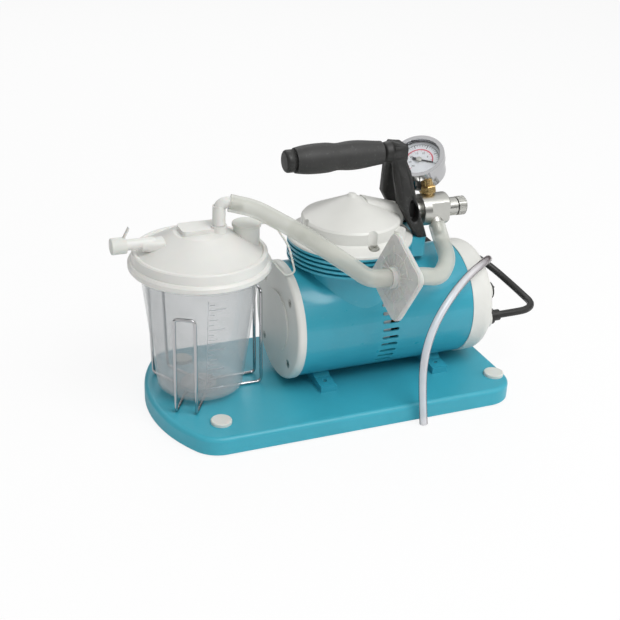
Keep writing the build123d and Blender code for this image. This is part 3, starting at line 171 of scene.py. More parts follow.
@dataclass(frozen=True)
class Finish:
    """A procedural finish, made of noise in object coordinates.

    Lengths of the texture features are in millimetres.
    """

    name: str
    colour: Colour
    roughness: float = 0.45
    metallic: float = 0.0
    mottle: float = 0.04
    mottle_size: float = 30.0
    relief: float = 0.05
    relief_size: float = 1.0
    rough_spread: float = 0.06
    texture: Texture = Texture.GRAIN
    coat: float = 0.0
    transmission: float = 0.0
    ior: float = 1.45
    subsurface: float = 0.0
    alpha: float = 1.0
    edge_alpha: float = 1.0
    # colour of painted shade towards the edges, standing in for refraction at the sides
    edge_colour: Colour | None = None
    edge_blend: float = 0.35
    sheen: float = 0.0
    dust: float = 0.0

    def build(self) -> bpy.types.Material:
        """Make the material, or return it where it is already made.

        Returns:
            The Blender material.
        """
        look_name = f"look_{self.name}"
        known = bpy.data.materials.get(look_name)
        if known:
            return known
        material = bpy.data.materials.new(look_name)
        graph = Graph(material)
        coords = graph.add("TexCoord").outputs["Object"]
        colour = self._colour(graph, coords)
        inputs = {
            "Base Color": colour, "Roughness": self._roughness(graph, coords),
            "Normal": self._relief(graph, coords), "Metallic": self.metallic, "IOR": self.ior,
            "Coat Weight": self.coat, "Coat Roughness": COAT_ROUGHNESS,
            "Transmission Weight": self.transmission, "Subsurface Weight": self.subsurface,
            "Subsurface Scale": SUBSURFACE_SCALE, "Sheen Weight": self.sheen,
        }
        if self.alpha < 1.0:
            inputs |= self._clear_middle(graph, colour)
        shader = graph.add("BsdfPrincipled", inputs)
        graph.add("OutputMaterial", {"Surface": shader.outputs["BSDF"]})
        return material

    def _clear_middle(self, graph: Graph, colour: Socket) -> dict[str, Socket]:
        """Make the surface clear where it faces the viewer and denser towards its edges, tinted there with
        painted edge shade where an edge colour is set.

        Args:
            graph: Nodes of the material.
            colour: Socket of the base colour.

        Returns:
            Sockets for the shader's inputs.
        """
        facing = graph.add("LayerWeight", {"Blend": self.edge_blend}).outputs["Facing"]
        made = {"Alpha": graph.mapped(facing, UNIT, (self.alpha, self.edge_alpha))}
        if self.edge_colour is not None:
            # Painted shade: the colour turns to the edge colour towards the sides, standing in for
            # refraction.
            share = graph.mapped(facing, EDGE_SHADE_BAND, UNIT)
            made["Base Color"] = graph.tinted(share, colour, (*self.edge_colour, 1.0))
        return made

    def _stretched(self, graph: Graph, coords: Socket, size: float) -> Socket:
        """Scale the coordinates for a feature size, drawn out where the surface has a direction.

        Args:
            graph: Nodes of the material.
            coords: Socket of the object coordinates.
            size: Feature size in millimetres.

        Returns:
            The vector socket.
        """
        scale = 1.0 / (size * MM)
        stretch = {Texture.BRUSHED: (0.04, 1.0, 1.0), Texture.LAMINATED: (1.0, 0.02, 0.02)}
        factors = stretch.get(self.texture, (1.0, 1.0, 1.0))
        inputs = {"Vector": coords, "Scale": tuple(scale * factor for factor in factors)}
        return graph.add("Mapping", inputs).outputs["Vector"]

    def _noise(self, graph: Graph, coords: Socket, size: float, detail: float = 3.0) -> Socket:
        """Add a noise texture of a feature size.

        Args:
            graph: Nodes of the material.
            coords: Socket of the object coordinates.
            size: Feature size in millimetres.
            detail: Octaves of the noise.

        Returns:
            The factor socket.
        """
        vector = self._stretched(graph, coords, size)
        return graph.add("TexNoise", {"Vector": vector, "Scale": 1.0, "Detail": detail}).outputs["Fac"]

    def _colour(self, graph: Graph, coords: Socket) -> Socket:
        """Mottled base colour, with a little dust where the finish has any.

        Args:
            graph: Nodes of the material.
            coords: Socket of the object coordinates.

        Returns:
            The colour socket.
        """
        low = tuple(max(0.0, c * (1 - self.mottle)) for c in self.colour)
        high = tuple(min(1.0, c * (1 + self.mottle)) for c in self.colour)
        noise = self._noise(graph, coords, self.mottle_size)
        colour = graph.ramp(noise, tuple(zip(MOTTLE_BAND, (low, high))))
        if self.dust:
            spots = graph.mapped(self._noise(graph, coords, DUST_SIZE, 6.0), DUST_BAND, (0.0, self.dust))
            colour = graph.tinted(spots, colour, DUST_COLOUR)
        return colour

    def _roughness(self, graph: Graph, coords: Socket) -> Socket:
        """Uneven roughness.

        Args:
            graph: Nodes of the material.
            coords: Socket of the object coordinates.

        Returns:
            The roughness socket.
        """
        ends = (max(0.0, self.roughness - self.rough_spread), min(1.0, self.roughness + self.rough_spread))
        return graph.mapped(self._noise(graph, coords, self.mottle_size * 0.35), UNIT, ends)

    def _relief(self, graph: Graph, coords: Socket) -> Socket:
        """Fine relief.

        Args:
            graph: Nodes of the material.
            coords: Socket of the object coordinates.

        Returns:
            The normal socket.
        """
        if self.texture is Texture.CAST:
            vector = self._stretched(graph, coords, self.relief_size)
            cells = graph.add("TexVoronoi", {"Vector": vector, "Scale": 1.0}, feature="SMOOTH_F1")
            height = cells.outputs["Distance"]
        else:
            height = self._noise(graph, coords, self.relief_size, 2.0)
        distance = RELIEF_SHARE * self.relief_size * MM
        inputs = {"Height": height, "Strength": self.relief, "Distance": distance}
        return graph.add("Bump", inputs).outputs["Normal"]


class Finishes:
    """The finishes of the unit."""

    TEAL_ENAMEL = Finish("teal_enamel", (0.035, 0.335, 0.445), 0.3, mottle=0.03, relief=0.08,
                         relief_size=1.4, coat=0.25, dust=0.04)
    TEAL_MOULDING = Finish("teal_moulding", (0.045, 0.375, 0.485), 0.36, mottle=0.03, relief=0.12,
                           relief_size=0.8, dust=0.04)
    WHITE_MOULDING = Finish("white_moulding", (0.72, 0.72, 0.69), 0.34, mottle=0.02, relief=0.05,
                            relief_size=1.2, subsurface=0.08)
    WHITE_ENAMEL = Finish("white_enamel", (0.71, 0.71, 0.675), 0.36, mottle=0.02, relief=0.12,
                          relief_size=1.6, dust=0.03)
    WHITE_RUBBER = Finish("white_rubber", (0.68, 0.69, 0.65), 0.55, mottle=0.03, relief=0.08,
                          relief_size=0.8, subsurface=0.1)
    BLACK_MOULDING = Finish("black_moulding", (0.021, 0.021, 0.02), 0.46, mottle=0.1, relief=0.2,
                            relief_size=0.5, dust=0.05)
    BLACK_RUBBER = Finish("black_rubber", (0.03, 0.03, 0.029), 0.56, mottle=0.12, relief=0.3,
                          relief_size=0.45, dust=0.06, sheen=0.05)
    CORD_RUBBER = Finish("cord_rubber", (0.017, 0.017, 0.016), 0.42, mottle=0.1, relief=0.1,
                         relief_size=0.6)
    CHROME = Finish("bright_chrome", (0.5, 0.5, 0.51), 0.1, 1.0, mottle=0.04, relief=0.03,
                    relief_size=2.0, rough_spread=0.03, texture=Texture.BRUSHED)
    NICKEL = Finish("nickel_plate", (0.5, 0.5, 0.47), 0.3, 1.0, mottle=0.05, relief=0.1,
                    relief_size=0.7, texture=Texture.BRUSHED)
    STEEL = Finish("turned_steel", (0.52, 0.52, 0.52), 0.32, 1.0, mottle=0.06, relief=0.15,
                   relief_size=0.5, texture=Texture.BRUSHED)
    ZINC = Finish("zinc_plate", (0.5, 0.5, 0.47), 0.35, 1.0, mottle=0.12, mottle_size=3.0,
                  relief=0.12, relief_size=0.6)
    ALLOY = Finish("cast_alloy", (0.5, 0.5, 0.5), 0.5, 1.0, mottle=0.08, relief=0.3,
                   relief_size=0.9, texture=Texture.CAST)
    PIPE = Finish("dull_pipe", (0.36, 0.36, 0.34), 0.45, 1.0, mottle=0.1, relief=0.1,
                  relief_size=0.8, texture=Texture.BRUSHED)
    BRASS = Finish("plain_brass", (0.74, 0.53, 0.24), 0.28, 1.0, mottle=0.1, mottle_size=5.0,
                   relief=0.12, relief_size=0.7)
    COPPER = Finish("enamelled_copper", (0.55, 0.22, 0.08), 0.35, 1.0, mottle=0.15,
                    mottle_size=1.2, relief=0.5, relief_size=0.6, texture=Texture.BRUSHED)
    LAMINATION = Finish("laminated_iron", (0.05, 0.05, 0.052), 0.6, 0.6, mottle=0.3,
                        mottle_size=0.7, relief=0.5, relief_size=0.7, texture=Texture.LAMINATED)
    # The jar's edge colour is a slightly darker painted edge shade.
    CLEAR_JAR = Finish("clear_jar", (0.56, 0.585, 0.595), 0.12, mottle=0.08, relief=0.05,
                       relief_size=6.0, alpha=0.2, edge_alpha=0.5, edge_colour=(0.55, 0.57, 0.58),
                       rough_spread=0.05, coat=0.6)
    # The tube's dark reddish edge colour is painted shade, standing in for refraction at its sides.
    CLEAR_TUBE = Finish("clear_tube", (0.86, 0.84, 0.87), 0.06, mottle=0.05, relief=0.03,
                        relief_size=4.0, alpha=0.52, edge_alpha=0.97, edge_colour=(0.05, 0.02, 0.028),
                        edge_blend=0.45, rough_spread=0.03, coat=1.0)
    SILICONE = Finish("milky_silicone", (0.66, 0.67, 0.61), 0.34, mottle=0.05, relief=0.05,
                      relief_size=1.5, alpha=0.36, edge_alpha=0.8)
    MILKY = Finish("milky_moulding", (0.74, 0.745, 0.72), 0.28, mottle=0.03, relief=0.04,
                   relief_size=1.5, subsurface=0.2, alpha=0.62, edge_alpha=0.95)
    LENS = Finish("clear_lens", (0.96, 0.97, 0.97), 0.03, mottle=0.005, relief=0.01,
                  relief_size=9.0, transmission=1.0, ior=1.25, rough_spread=0.01)
    DIAL = Finish("dial_white", (0.74, 0.75, 0.78), 0.5, mottle=0.02, relief=0.02)
    INK = Finish("black_ink", (0.02, 0.02, 0.025), 0.5, mottle=0.1, relief=0.02)
    RED_INK = Finish("red_ink", (0.62, 0.12, 0.17), 0.5, mottle=0.06, relief=0.02)
    PALE_INK = Finish("pale_ink", (0.4, 0.42, 0.45), 0.5, mottle=0.08, relief=0.02)


FINISHED_NODES: dict[Finish, tuple[str, ...]] = {
    Finishes.TEAL_MOULDING: ("base_tray",),
    Finishes.WHITE_RUBBER: (
        "base_feet", "lid_gasket", "ortho_cap", "ortho_cap_tether", "patient_cap",
    ),
    Finishes.CHROME: ("jar_holder", "gauge_case", "gauge_bezel"),
    Finishes.STEEL: (
        "holder_clamp", "motor_shaft", "bearings", "eccentric", "crank_bearing", "regulator_stem",
        "regulator_spring",
    ),
    Finishes.CLEAR_JAR: ("jar_cup",),
    Finishes.WHITE_MOULDING: ("jar_lid", "float_cage", "lid_elbow"),
    Finishes.MILKY: ("float_valve", "filter_inlet_half", "filter_outlet_half"),
    Finishes.SILICONE: ("suction_hose", "regulator_hose"),
    Finishes.TEAL_ENAMEL: ("motor_shell", "motor_feet", "finned_housing"),
    Finishes.WHITE_ENAMEL: ("left_end_cap", "right_end_cap", "head_cover"),
    Finishes.ZINC: ("end_cap_screws", "foot_screws", "head_screws"),
    Finishes.LAMINATION: ("stator_core", "rotor_core"),
    Finishes.COPPER: ("stator_windings",),
    Finishes.ALLOY: ("bearing_bridge", "connecting_rod", "valve_plate"),
    Finishes.BLACK_MOULDING: (
        "cooling_fan", "collar_ring", "handle_bracket", "switch_bezel", "power_rocker",
    ),
    Finishes.BLACK_RUBBER: ("diaphragm", "handle_grip"),
    Finishes.PIPE: ("intake_manifold",),
    Finishes.NICKEL: ("regulator_body", "regulator_knob"),
    Finishes.LENS: ("gauge_lens",),
    Finishes.DIAL: ("gauge_dial",),
    Finishes.INK: ("gauge_pointer",),
    Finishes.BRASS: ("gauge_fitting",),
    Finishes.CORD_RUBBER: ("cord_relief", "power_cord", "power_cord_coil", "power_plug"),
    Finishes.CLEAR_TUBE: ("drain_tube", "drain_tube_coil"),
}
NODE_FINISH = {node: finish for finish, nodes in FINISHED_NODES.items() for node in nodes}


class Mesher:
    """Mesh operators shared by the sub-assemblies."""

    @staticmethod
    def dressed(name: str, mesh_data: bmesh.types.BMesh, finish: Finish, slot: str,
                sharp_degrees: float) -> bpy.types.Object:
        """Turn a bmesh into an object with its finish.

        Args:
            name: Name of the piece.
            mesh_data: The bmesh, which is freed.
            finish: Its finish.
            slot: Material slot of the record; not used.
            sharp_degrees: Edges sharper than this stay hard.

        Returns:
            The new object.
        """
        mesh = bpy.data.meshes.new(name)
        mesh_data.to_mesh(mesh)
        mesh_data.free()
        mesh.polygons.foreach_set("use_smooth", [True] * len(mesh.polygons))
        mesh.set_sharp_from_angle(angle=math.radians(sharp_degrees))
        mesh.materials.append(finish.build())
        piece = bpy.data.objects.new(name, mesh)
        bpy.context.scene.collection.objects.link(piece)
        return piece

    @staticmethod
    def finish_mesh(name: str, mesh_data: bmesh.types.BMesh, finish: Finish, body: str,
                    slot: str) -> bpy.types.Object:
        """Turn a bmesh into a dressed object that rides on a body.

        Args:
            name: Name of the piece.
            mesh_data: The bmesh, which is freed.
            finish: Its finish.
            body: CAD body that it moves with.
            slot: Material slot of the record.

        Returns:
            The new object.
        """
        bmesh.ops.remove_doubles(mesh_data, verts=mesh_data.verts, dist=1e-7)
        bmesh.ops.recalc_face_normals(mesh_data, faces=mesh_data.faces)
        piece = Mesher.dressed(name, mesh_data, finish, slot, 32.0)
        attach(piece, body)
        log.info("%s: %d faces on %s", name, len(piece.data.polygons), body)
        return piece

    @staticmethod
    def copied(node: str) -> bmesh.types.BMesh:
        """Copy the mesh of a CAD node at rest.

        Args:
            node: Name of the node.

        Returns:
            The bmesh.
        """
        made = bmesh.new()
        made.from_mesh(frame["nodes"][node].data)
        return made

    @staticmethod
    def lathe(target: bmesh.types.BMesh, profile: Sequence[Pair], place: Matrix,
              steps: int = 96, closed: bool = True) -> None:
        """Spin a profile of (radius, height) millimetres about the local Z axis of a placement.

        Args:
            target: Bmesh to add to.
            profile: Points of the profile.
            place: Placement of the local frame, in metres.
            steps: Facets round the axis.
            closed: Whether the profile closes on itself.
        """
        verts = [target.verts.new(Vector((r * MM, 0.0, z * MM))) for r, z in profile]
        pairs = list(zip(verts, verts[1:])) + ([(verts[-1], verts[0])] if closed else [])
        edges = [target.edges.new(pair) for pair in pairs]
        result = bmesh.ops.spin(target, geom=verts + edges, cent=(0, 0, 0), axis=(0, 0, 1),
                                angle=2 * math.pi, steps=steps, use_merge=True)
        made = {v for v in result["geom_last"] if isinstance(v, bmesh.types.BMVert)} | set(verts)
        seen = set(made)
        stack = list(made)
        while stack:
            vert = stack.pop()
            for edge in vert.link_edges:
                other = edge.other_vert(vert)
                if other not in seen:
                    seen.add(other)
                    stack.append(other)
        bmesh.ops.transform(target, matrix=place, verts=list(seen))

    @staticmethod
    def slab(target: bmesh.types.BMesh, size: Point, place: Matrix, bevel: float = 0.0) -> None:
        """Add a box of the given size in millimetres, with rounded edges where bevel is set.

        Args:
            target: Bmesh to add to.
            size: Length, width and height.
            place: Placement of the box's middle, in metres.
            bevel: Edge rounding in millimetres.
        """
        made = bmesh.ops.create_cube(target, size=1.0)["verts"]
        scale = Matrix.Diagonal((size[0] * MM, size[1] * MM, size[2] * MM, 1.0))
        bmesh.ops.transform(target, matrix=place @ scale, verts=made)
        if bevel:
            edges = {edge for vert in made for edge in vert.link_edges}
            bmesh.ops.bevel(target, geom=list(edges), offset=bevel * MM, segments=3,
                            profile=0.5, affect="EDGES")

    @staticmethod
    def ribbon(target: bmesh.types.BMesh, line: Sequence[Vector], across: Sequence[Vector],
               out: Sequence[Vector], width: float, height: float) -> None:
        """Lay a flat raised strip along a line on a surface.

        Args:
            target: Bmesh to add to.
            line: Points of the line, on the surface.
            across: Unit vector across the strip at each point.
            out: Unit vector out of the surface at each point.
            width: Width in millimetres.
            height: Height above the surface in millimetres.
        """
        rows = []
        for point, side, normal in zip(line, across, out):
            half = side * (width * MM / 2)
            low = normal * (-0.1 * MM)
            high = normal * (height * MM)
            rows.append([target.verts.new(point + offset) for offset in
                         (-half + low, half + low, half + high, -half + high)])
        for first, second in zip(rows, rows[1:]):
            for index in range(4):
                following = (index + 1) % 4
                target.faces.new((first[index], first[following], second[following], second[index]))
        target.faces.new(rows[0][::-1])
        target.faces.new(rows[-1])


def frame_at(origin: Vector, normal: Vector, along: Vector) -> Matrix:
    """Placement whose Z axis is a normal and whose X axis lies along a direction.

    Args:
        origin: Origin in metres.
        normal: Direction of local Z.
        along: Direction that local X follows as nearly as it can.

    Returns:
        The placement.
    """
    z_axis = normal.normalized()
    x_axis = (along - z_axis * along.dot(z_axis)).normalized()
    y_axis = z_axis.cross(x_axis)
    place = Matrix((x_axis, y_axis, z_axis)).transposed().to_4x4()
    place.translation = origin
    return place


@dataclass
class CameraRig:
    """The camera that was fitted to the photograph, base-centred millimetres."""

    place: Point = (-409.97, -916.23, 574.23)
    azimuth: float = -23.37
    elevation: float = 26.04
    roll: float = 2.52
    focal_pixels: float = 1155.65
    frame_pixels: float = 620.0

    def build(self) -> None:
        """Make the camera and set it as the scene's."""
        data = bpy.data.cameras.new("camera")
        data.sensor_width = 36.0
        data.lens = self.focal_pixels / self.frame_pixels * data.sensor_width
        data.clip_start = 0.05
        data.clip_end = 30.0
        azimuth = math.radians(-self.azimuth)
        elevation = math.radians(self.elevation)
        ahead = Vector((math.sin(azimuth) * math.cos(elevation),
                        math.cos(azimuth) * math.cos(elevation), -math.sin(elevation)))
        right = ahead.cross(Vector((0, 0, 1))).normalized()
        upward = right.cross(ahead)
        turn = math.radians(self.roll)
        x_axis = right * math.cos(turn) + upward * math.sin(turn)
        y_axis = upward * math.cos(turn) - right * math.sin(turn)
        camera = bpy.data.objects.new("camera", data)
        camera.matrix_world = Matrix((x_axis, y_axis, -ahead)).transposed().to_4x4()
        camera.location = at(*self.place)
        bpy.context.scene.collection.objects.link(camera)
        bpy.context.scene.camera = camera
        log.info("camera at %s", tuple(round(c, 4) for c in camera.location))


@dataclass
class Studio:
    """Pale floor, level light and white surroundings."""

    ambient: float = 0.5
    key_power: float = 24.0
    fill_power: float = 5.0
    floor_half: float = 3.0
    floor_drop: float = 0.0005
    floor_glow: float = 0.88
    key_place: Point = (0.35, -1.1, 1.8)
    fill_place: Point = (1.5, -0.9, 0.9)
    rim_place: Point = (0.2, 1.5, 1.3)
    target: Point = (0.0, 0.0, 0.1)
    gloss_stops: tuple[tuple[float, Colour], ...] = ((0.12, (0.12,) * 3), (0.7, (0.95,) * 3))
    floor_stops: tuple[tuple[float, Colour], ...] = ((0.0, (0.90,) * 3), (1.0, (0.92,) * 3))

    def build(self) -> None:
        """Make the world, the floor and the lamps."""
        self._world()
        self._floor()
        self._lamp("key_light", self.key_place, 1.1, self.key_power)
        self._lamp("fill_light", self.fill_place, 1.2, self.fill_power)
        self._lamp("rim_light", self.rim_place, 1.2, self.fill_power)
        bpy.context.scene.view_settings.view_transform = "Standard"

    def _world(self) -> None:
        """White for the camera and through glass, a soft gradient in gloss, level light otherwise."""
        world = bpy.data.worlds.new("studio")
        bpy.context.scene.world = world
        graph = Graph(world)
        white = graph.add("Background", {"Color": WHITE})
        level = graph.add("Background", {"Color": WHITE, "Strength": self.ambient})
        direction = graph.add("TexCoord").outputs["Generated"]
        height = graph.add("SeparateXYZ", {"Vector": direction}).outputs["Z"]
        gradient = graph.ramp(height, self.gloss_stops)
        gloss = graph.add("Background", {"Color": gradient, "Strength": 1.0})
        glossy = graph.add("LightPath").outputs["Is Glossy Ray"]
        around = graph.mixed(graph.seen_directly(), graph.mixed(glossy, level, gloss), white)
        graph.add("OutputWorld", {"Surface": around.outputs[0]})

    def _floor(self) -> None:
        """Pale floor that keeps a faint shadow."""
        floor = bmesh.new()
        bmesh.ops.create_grid(floor, x_segments=1, y_segments=1, size=self.floor_half)
        bmesh.ops.translate(floor, vec=(0, 0, -self.floor_drop), verts=floor.verts)
        mesh = bpy.data.meshes.new("studio_floor")
        floor.to_mesh(mesh)
        floor.free()
        material = bpy.data.materials.new("pale_floor")
        graph = Graph(material)
        noise = graph.add("TexNoise", {"Scale": 3.0})
        shade = graph.ramp(noise.outputs["Fac"], self.floor_stops)
        matt = {"Base Color": shade, "Roughness": 0.9, "Specular IOR Level": 0.0}
        shader = graph.add("BsdfPrincipled", matt)
        glow = graph.add("Emission", {"Strength": 1.0})
        share = graph.add("Math", {0: graph.seen_directly(), 1: self.floor_glow}, operation="MULTIPLY")
        surface = graph.mixed(share.outputs[0], shader, glow)
        graph.add("OutputMaterial", {"Surface": surface.outputs[0]})
        mesh.materials.append(material)
        plane = bpy.data.objects.new("studio_floor", mesh)
        bpy.context.scene.collection.objects.link(plane)

    def _lamp(self, name: str, place: Point, size: float, power: float) -> None:
        """Add a square soft lamp that looks at the object.

        Args:
            name: Name of the lamp.
            place: Position in metres.
            size: Side in metres.
            power: Power in watts.
        """
        data = bpy.data.lights.new(name, "AREA")
        data.size = size
        data.energy = power
        lamp = bpy.data.objects.new(name, data)
        lamp.location = place
        aim = Vector(self.target) - Vector(place)
        lamp.rotation_euler = aim.to_track_quat("-Z", "Y").to_euler()
        bpy.context.scene.collection.objects.link(lamp)


class Route:
    """A cord's route as one smooth spline."""

    def __init__(self, name: str, radius: float, points: Iterable[Point], finish: Finish, slot: str,
                 body: str = "base") -> None:
        """Make the spline.

        Args:
            name: Name of the piece.
            radius: Radius in millimetres.
            points: Route in base-centred millimetres.
            finish: Its finish.
            slot: Material slot of the record; not used.
            body: CAD body that it moves with.
        """
        curve = bpy.data.curves.new(name, "CURVE")
        curve.dimensions = "3D"
        curve.bevel_depth = radius * MM
        curve.bevel_resolution = 5
        curve.resolution_u = 8
        curve.use_fill_caps = True
        places = [at(*point) for point in points]
        spline = curve.splines.new("NURBS")
        spline.points.add(len(places) - 1)
        for target, place in zip(spline.points, places):
            target.co = (*place, 1.0)
        spline.order_u = 3
        spline.use_endpoint_u = True
        curve.materials.append(finish.build())
        self.piece = bpy.data.objects.new(name, curve)
        self.start = places[0]
        bpy.context.scene.collection.objects.link(self.piece)
        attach(self.piece, body)


@dataclass
class RingCoil:
    """Turns of a cord beside and on each other, as points of its own spline."""

    centre: Point
    radii: tuple[float, ...]
    layers: tuple[float, ...]
    start_degrees: float
    turns: float
    upright: bool
    per_turn: int = 16

    def points(self) -> list[Point]:
        """Route points of the turns.

        Returns:
            Points in base-centred millimetres.
        """
        made = []
        count = int(round(self.turns * self.per_turn))
        swell = 1.0 / math.cos(math.pi / self.per_turn) ** 0.5
        blend_steps = self.per_turn // 4
        for index in range(count + 1):
            turn, within = divmod(index, self.per_turn)
            turn = min(turn, len(self.radii) - 1)
            following = min(turn + 1, len(self.radii) - 1)
            late = max(0, within - (self.per_turn - blend_steps)) / blend_steps
            radius = (self.radii[turn] * (1 - late) + self.radii[following] * late) * swell
            shift = self.layers[turn] * (1 - late) + self.layers[following] * late
            angle = math.radians(self.start_degrees - 360.0 * index / self.per_turn)
            across = radius * math.cos(angle)
            other = radius * math.sin(angle)
            x, y, z = self.centre
            if self.upright:
                made.append((x + across, y + shift, z + other))
            else:
                made.append((x + across, y + other, z + shift))
        return made


@dataclass
class MainsCord:
    """Black mains lead with its coil standing behind the motor, and its plug."""

    radius: float = 3.7
    length: float = 1.72
    gland: Point = (165.5, -31.5, 67.5)
    run: tuple[Point, ...] = (
        (200.0, -31.5, 67.5), (213.0, -29.5, 67.3), (222.4, -22.5, 66.8), (228.2, -12.0, 66.0),
        (229.3, 1.0, 66.0), (228.4, 15.0, 68.0), (225.0, 30.0, 72.0), (219.0, 43.0, 78.0),
        (209.0, 54.0, 86.0), (197.0, 62.0, 92.5), (183.5, 66.5, 94.6), (171.0, 68.3, 88.8),
        (162.5, 68.5, 77.6),
    )
    coil: RingCoil = field(default_factory=lambda: RingCoil(
        centre=(118.0, 76.3, 71.0), radii=(41.15, 41.15, 41.15, 48.95, 48.95, 48.95),
        layers=(-7.8, 0.0, 7.8, 7.8, 0.0, -7.8), start_degrees=-10.0, turns=5.1875, upright=True))
    tail: tuple[Point, ...] = (
        (98.0, 70.0, 23.2), (86.0, 73.0, 25.2), (78.0, 76.0, 26.0), (71.0, 76.3, 26.0),
    )
    plug_size: Point = (36.0, 23.0, 15.6)
    pin_size: Point = (18.0, 1.5, 6.3)

    def build(self) -> None:
        points = [self.gland, *self.run, *self.coil.points(), *self.tail]
        route = Route("mains_lead", self.radius, points, Finishes.CORD_RUBBER, "dark_rubber")
        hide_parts("power_cord", "power_cord_coil")
        plug = self._plug()
        tie = self._tie()
        log.info("lead with %d points, tie %s", len(points), tie.name)

    def _plug(self) -> bpy.types.Object:
        """Moulded plug with two flat pins, in the place of its CAD solid.

        Returns:
            The plug.
        """
        low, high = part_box("power_plug")
        middle = (Vector(low) + Vector(high)) / 2
        right, upward = Vector((1, 0, 0)), Vector((0, 0, 1))
        made = bmesh.new()
        centre = Vector((high[0] - 0.020, middle.y, middle.z))
        Mesher.slab(made, self.plug_size, frame_at(centre, upward, right), 4.5)
        profile = [(0, 0), (6.6, 0), (6.2, 3), (6.6, 4), (6.2, 7), (5.6, 8), (5.2, 11), (4.6, 12), (0, 12)]
        place = frame_at(Vector((high[0] - 0.012, middle.y, middle.z)), right, upward)
        Mesher.lathe(made, profile, place, 32)
        plug = Mesher.finish_mesh("plug_body", made, Finishes.CORD_RUBBER, "base", "dark_rubber")
        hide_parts("power_plug")
        pins = bmesh.new()
        for shift in (-6.3, 6.3):
            centre = Vector((high[0] - 0.0475, middle.y + shift * MM, middle.z))
            Mesher.slab(pins, self.pin_size, frame_at(centre, upward, right), 0.5)
        blade = Mesher.finish_mesh("plug_pins", pins, Finishes.BRASS, "base", "brass_fitting")
        blade.parent = plug
        return plug

    def _tie(self) -> bpy.types.Object:
        """Band that holds the turns together.

        Returns:
            The band.
        """
        x, y, z = self.coil.centre
        place = frame_at(at(x, y, z + 45.05), Vector((1, 0, 0)), Vector((0, 0, 1)))
        made = bmesh.new()
        half_r, half_y, corners = 8.2, 12.2, 32
        outline = []
        for index in range(corners):
            angle = 2 * math.pi * index / corners
            c, s = math.cos(angle), math.sin(angle)
            outline.append((half_r * math.copysign(abs(c) ** 0.6, c),
                            half_y * math.copysign(abs(s) ** 0.6, s)))
        rings = []
        for grow, shift in ((0.0, -3.0), (0.9, -3.0), (0.9, 3.0), (0.0, 3.0)):
            rings.append([made.verts.new(place @ Vector(((a + math.copysign(grow, a)) * MM,
                                                         (b + math.copysign(grow, b)) * MM, shift * MM)))
                          for a, b in outline])
        for ring, following in zip(rings, rings[1:] + rings[:1]):
            for index in range(corners):
                after = (index + 1) % corners
                made.faces.new((ring[index], ring[after], following[after], following[index]))
        return Mesher.finish_mesh("lead_tie", made, Finishes.BLACK_MOULDING, "base", "dark_rubber")


@dataclass
class DrainTube:
    """Clear soft tube that passes over the motor's shoulder to a coil behind the unit."""

    radius: float = 4.0
    length: float = 1.56
    run: tuple[Point, ...] = (
        (66.0, -98.0, 0.8), (60.0, -98.0, 46.0), (64.0, -92.0, 76.0), (78.0, -81.0, 98.0),
        (101.0, -69.0, 119.0), (127.5, -51.5, 127.5), (148.8, -38.9, 131.0), (165.8, -23.9, 128.3),
        (176.3, 2.5, 110.5), (183.0, 32.0, 88.0), (186.0, 62.0, 62.0), (180.0, 94.0, 34.0),
        (158.0, 125.0, 10.0), (135.5, 135.6, 4.2),
    )
    coil: RingCoil = field(default_factory=lambda: RingCoil(
        centre=(106.0, 178.0, 0.0), radii=(39.8, 48.2, 48.2, 39.8), layers=(4.1, 4.1, 12.3, 12.3),
        start_degrees=-80.0, turns=4.0, upright=False))

    def build(self) -> None:
        points = [*self.run, *self.coil.points()]
        route = Route("clear_drain_tube", self.radius, points, Finishes.CLEAR_TUBE, "clear_tube")
        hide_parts("drain_tube", "drain_tube_coil")
        log.info("drain tube with %d points", len(points))


@dataclass
class JarMarks:
    """Raised graduation lines on the wall of the jar."""

    axis: Pair = (-122.5, 5.8)
    low: Pair = (40.6, 27.5)
    high: Pair = (55.3, 147.0)
    spacing: float = 10.6
    first: float = 40.0
    count: int = 9
    start_degrees: float = 262.0
    long_length: float = 15.0
    short_length: float = 8.0
    half_length: float = 4.5

    def build(self) -> None:
        """Make the lines."""
        made = bmesh.new()
        for index in range(self.count):
            z = self.first + index * self.spacing
            self._mark(made, z, self.short_length if index % 2 else self.long_length)
            self._mark(made, z + self.spacing / 2, self.half_length)
        self._upright(made, self.start_degrees - 1.5)
        Mesher.finish_mesh("jar_graduation", made, Finishes.PALE_INK, "jar", "clear_jar")

    def _radius(self, z: float) -> float:
        """Outer radius of the tapered wall at a height, in millimetres."""
        (r0, z0), (r1, z1) = self.low, self.high
        return r0 + (r1 - r0) * (z - z0) / (z1 - z0)

    def _mark(self, made: bmesh.types.BMesh, z: float, length: float) -> None:
        """Lay one level line on the wall.

        Args:
            made: Bmesh to add to.
            z: Height in millimetres.
            length: Length in millimetres.
        """
        radius = self._radius(z)
        span = math.degrees(length / radius)
        line, across, out = [], [], []
        for index in range(7):
            angle = math.radians(self.start_degrees + span * index / 6)
            normal = Vector((math.cos(angle), math.sin(angle), 0))
            line.append(at(self.axis[0] + radius * normal.x, self.axis[1] + radius * normal.y, z))
            across.append(Vector((0, 0, 1)))
            out.append(normal)
        Mesher.ribbon(made, line, across, out, 0.5, 0.12)

    def _upright(self, made: bmesh.types.BMesh, degrees: float) -> None:
        """Lay the upright line beside the marks.

        Args:
            made: Bmesh to add to.
            degrees: Its angle round the jar.
        """
        angle = math.radians(degrees)
        normal = Vector((math.cos(angle), math.sin(angle), 0))
        side = Vector((-math.sin(angle), math.cos(angle), 0))
        heights = (38.0, 70.0, 102.0, 134.0)
        line = [at(self.axis[0] + self._radius(z) * normal.x,
                   self.axis[1] + self._radius(z) * normal.y, z) for z in heights]
        Mesher.ribbon(made, line, [side] * 4, [normal] * 4, 0.35, 0.1)


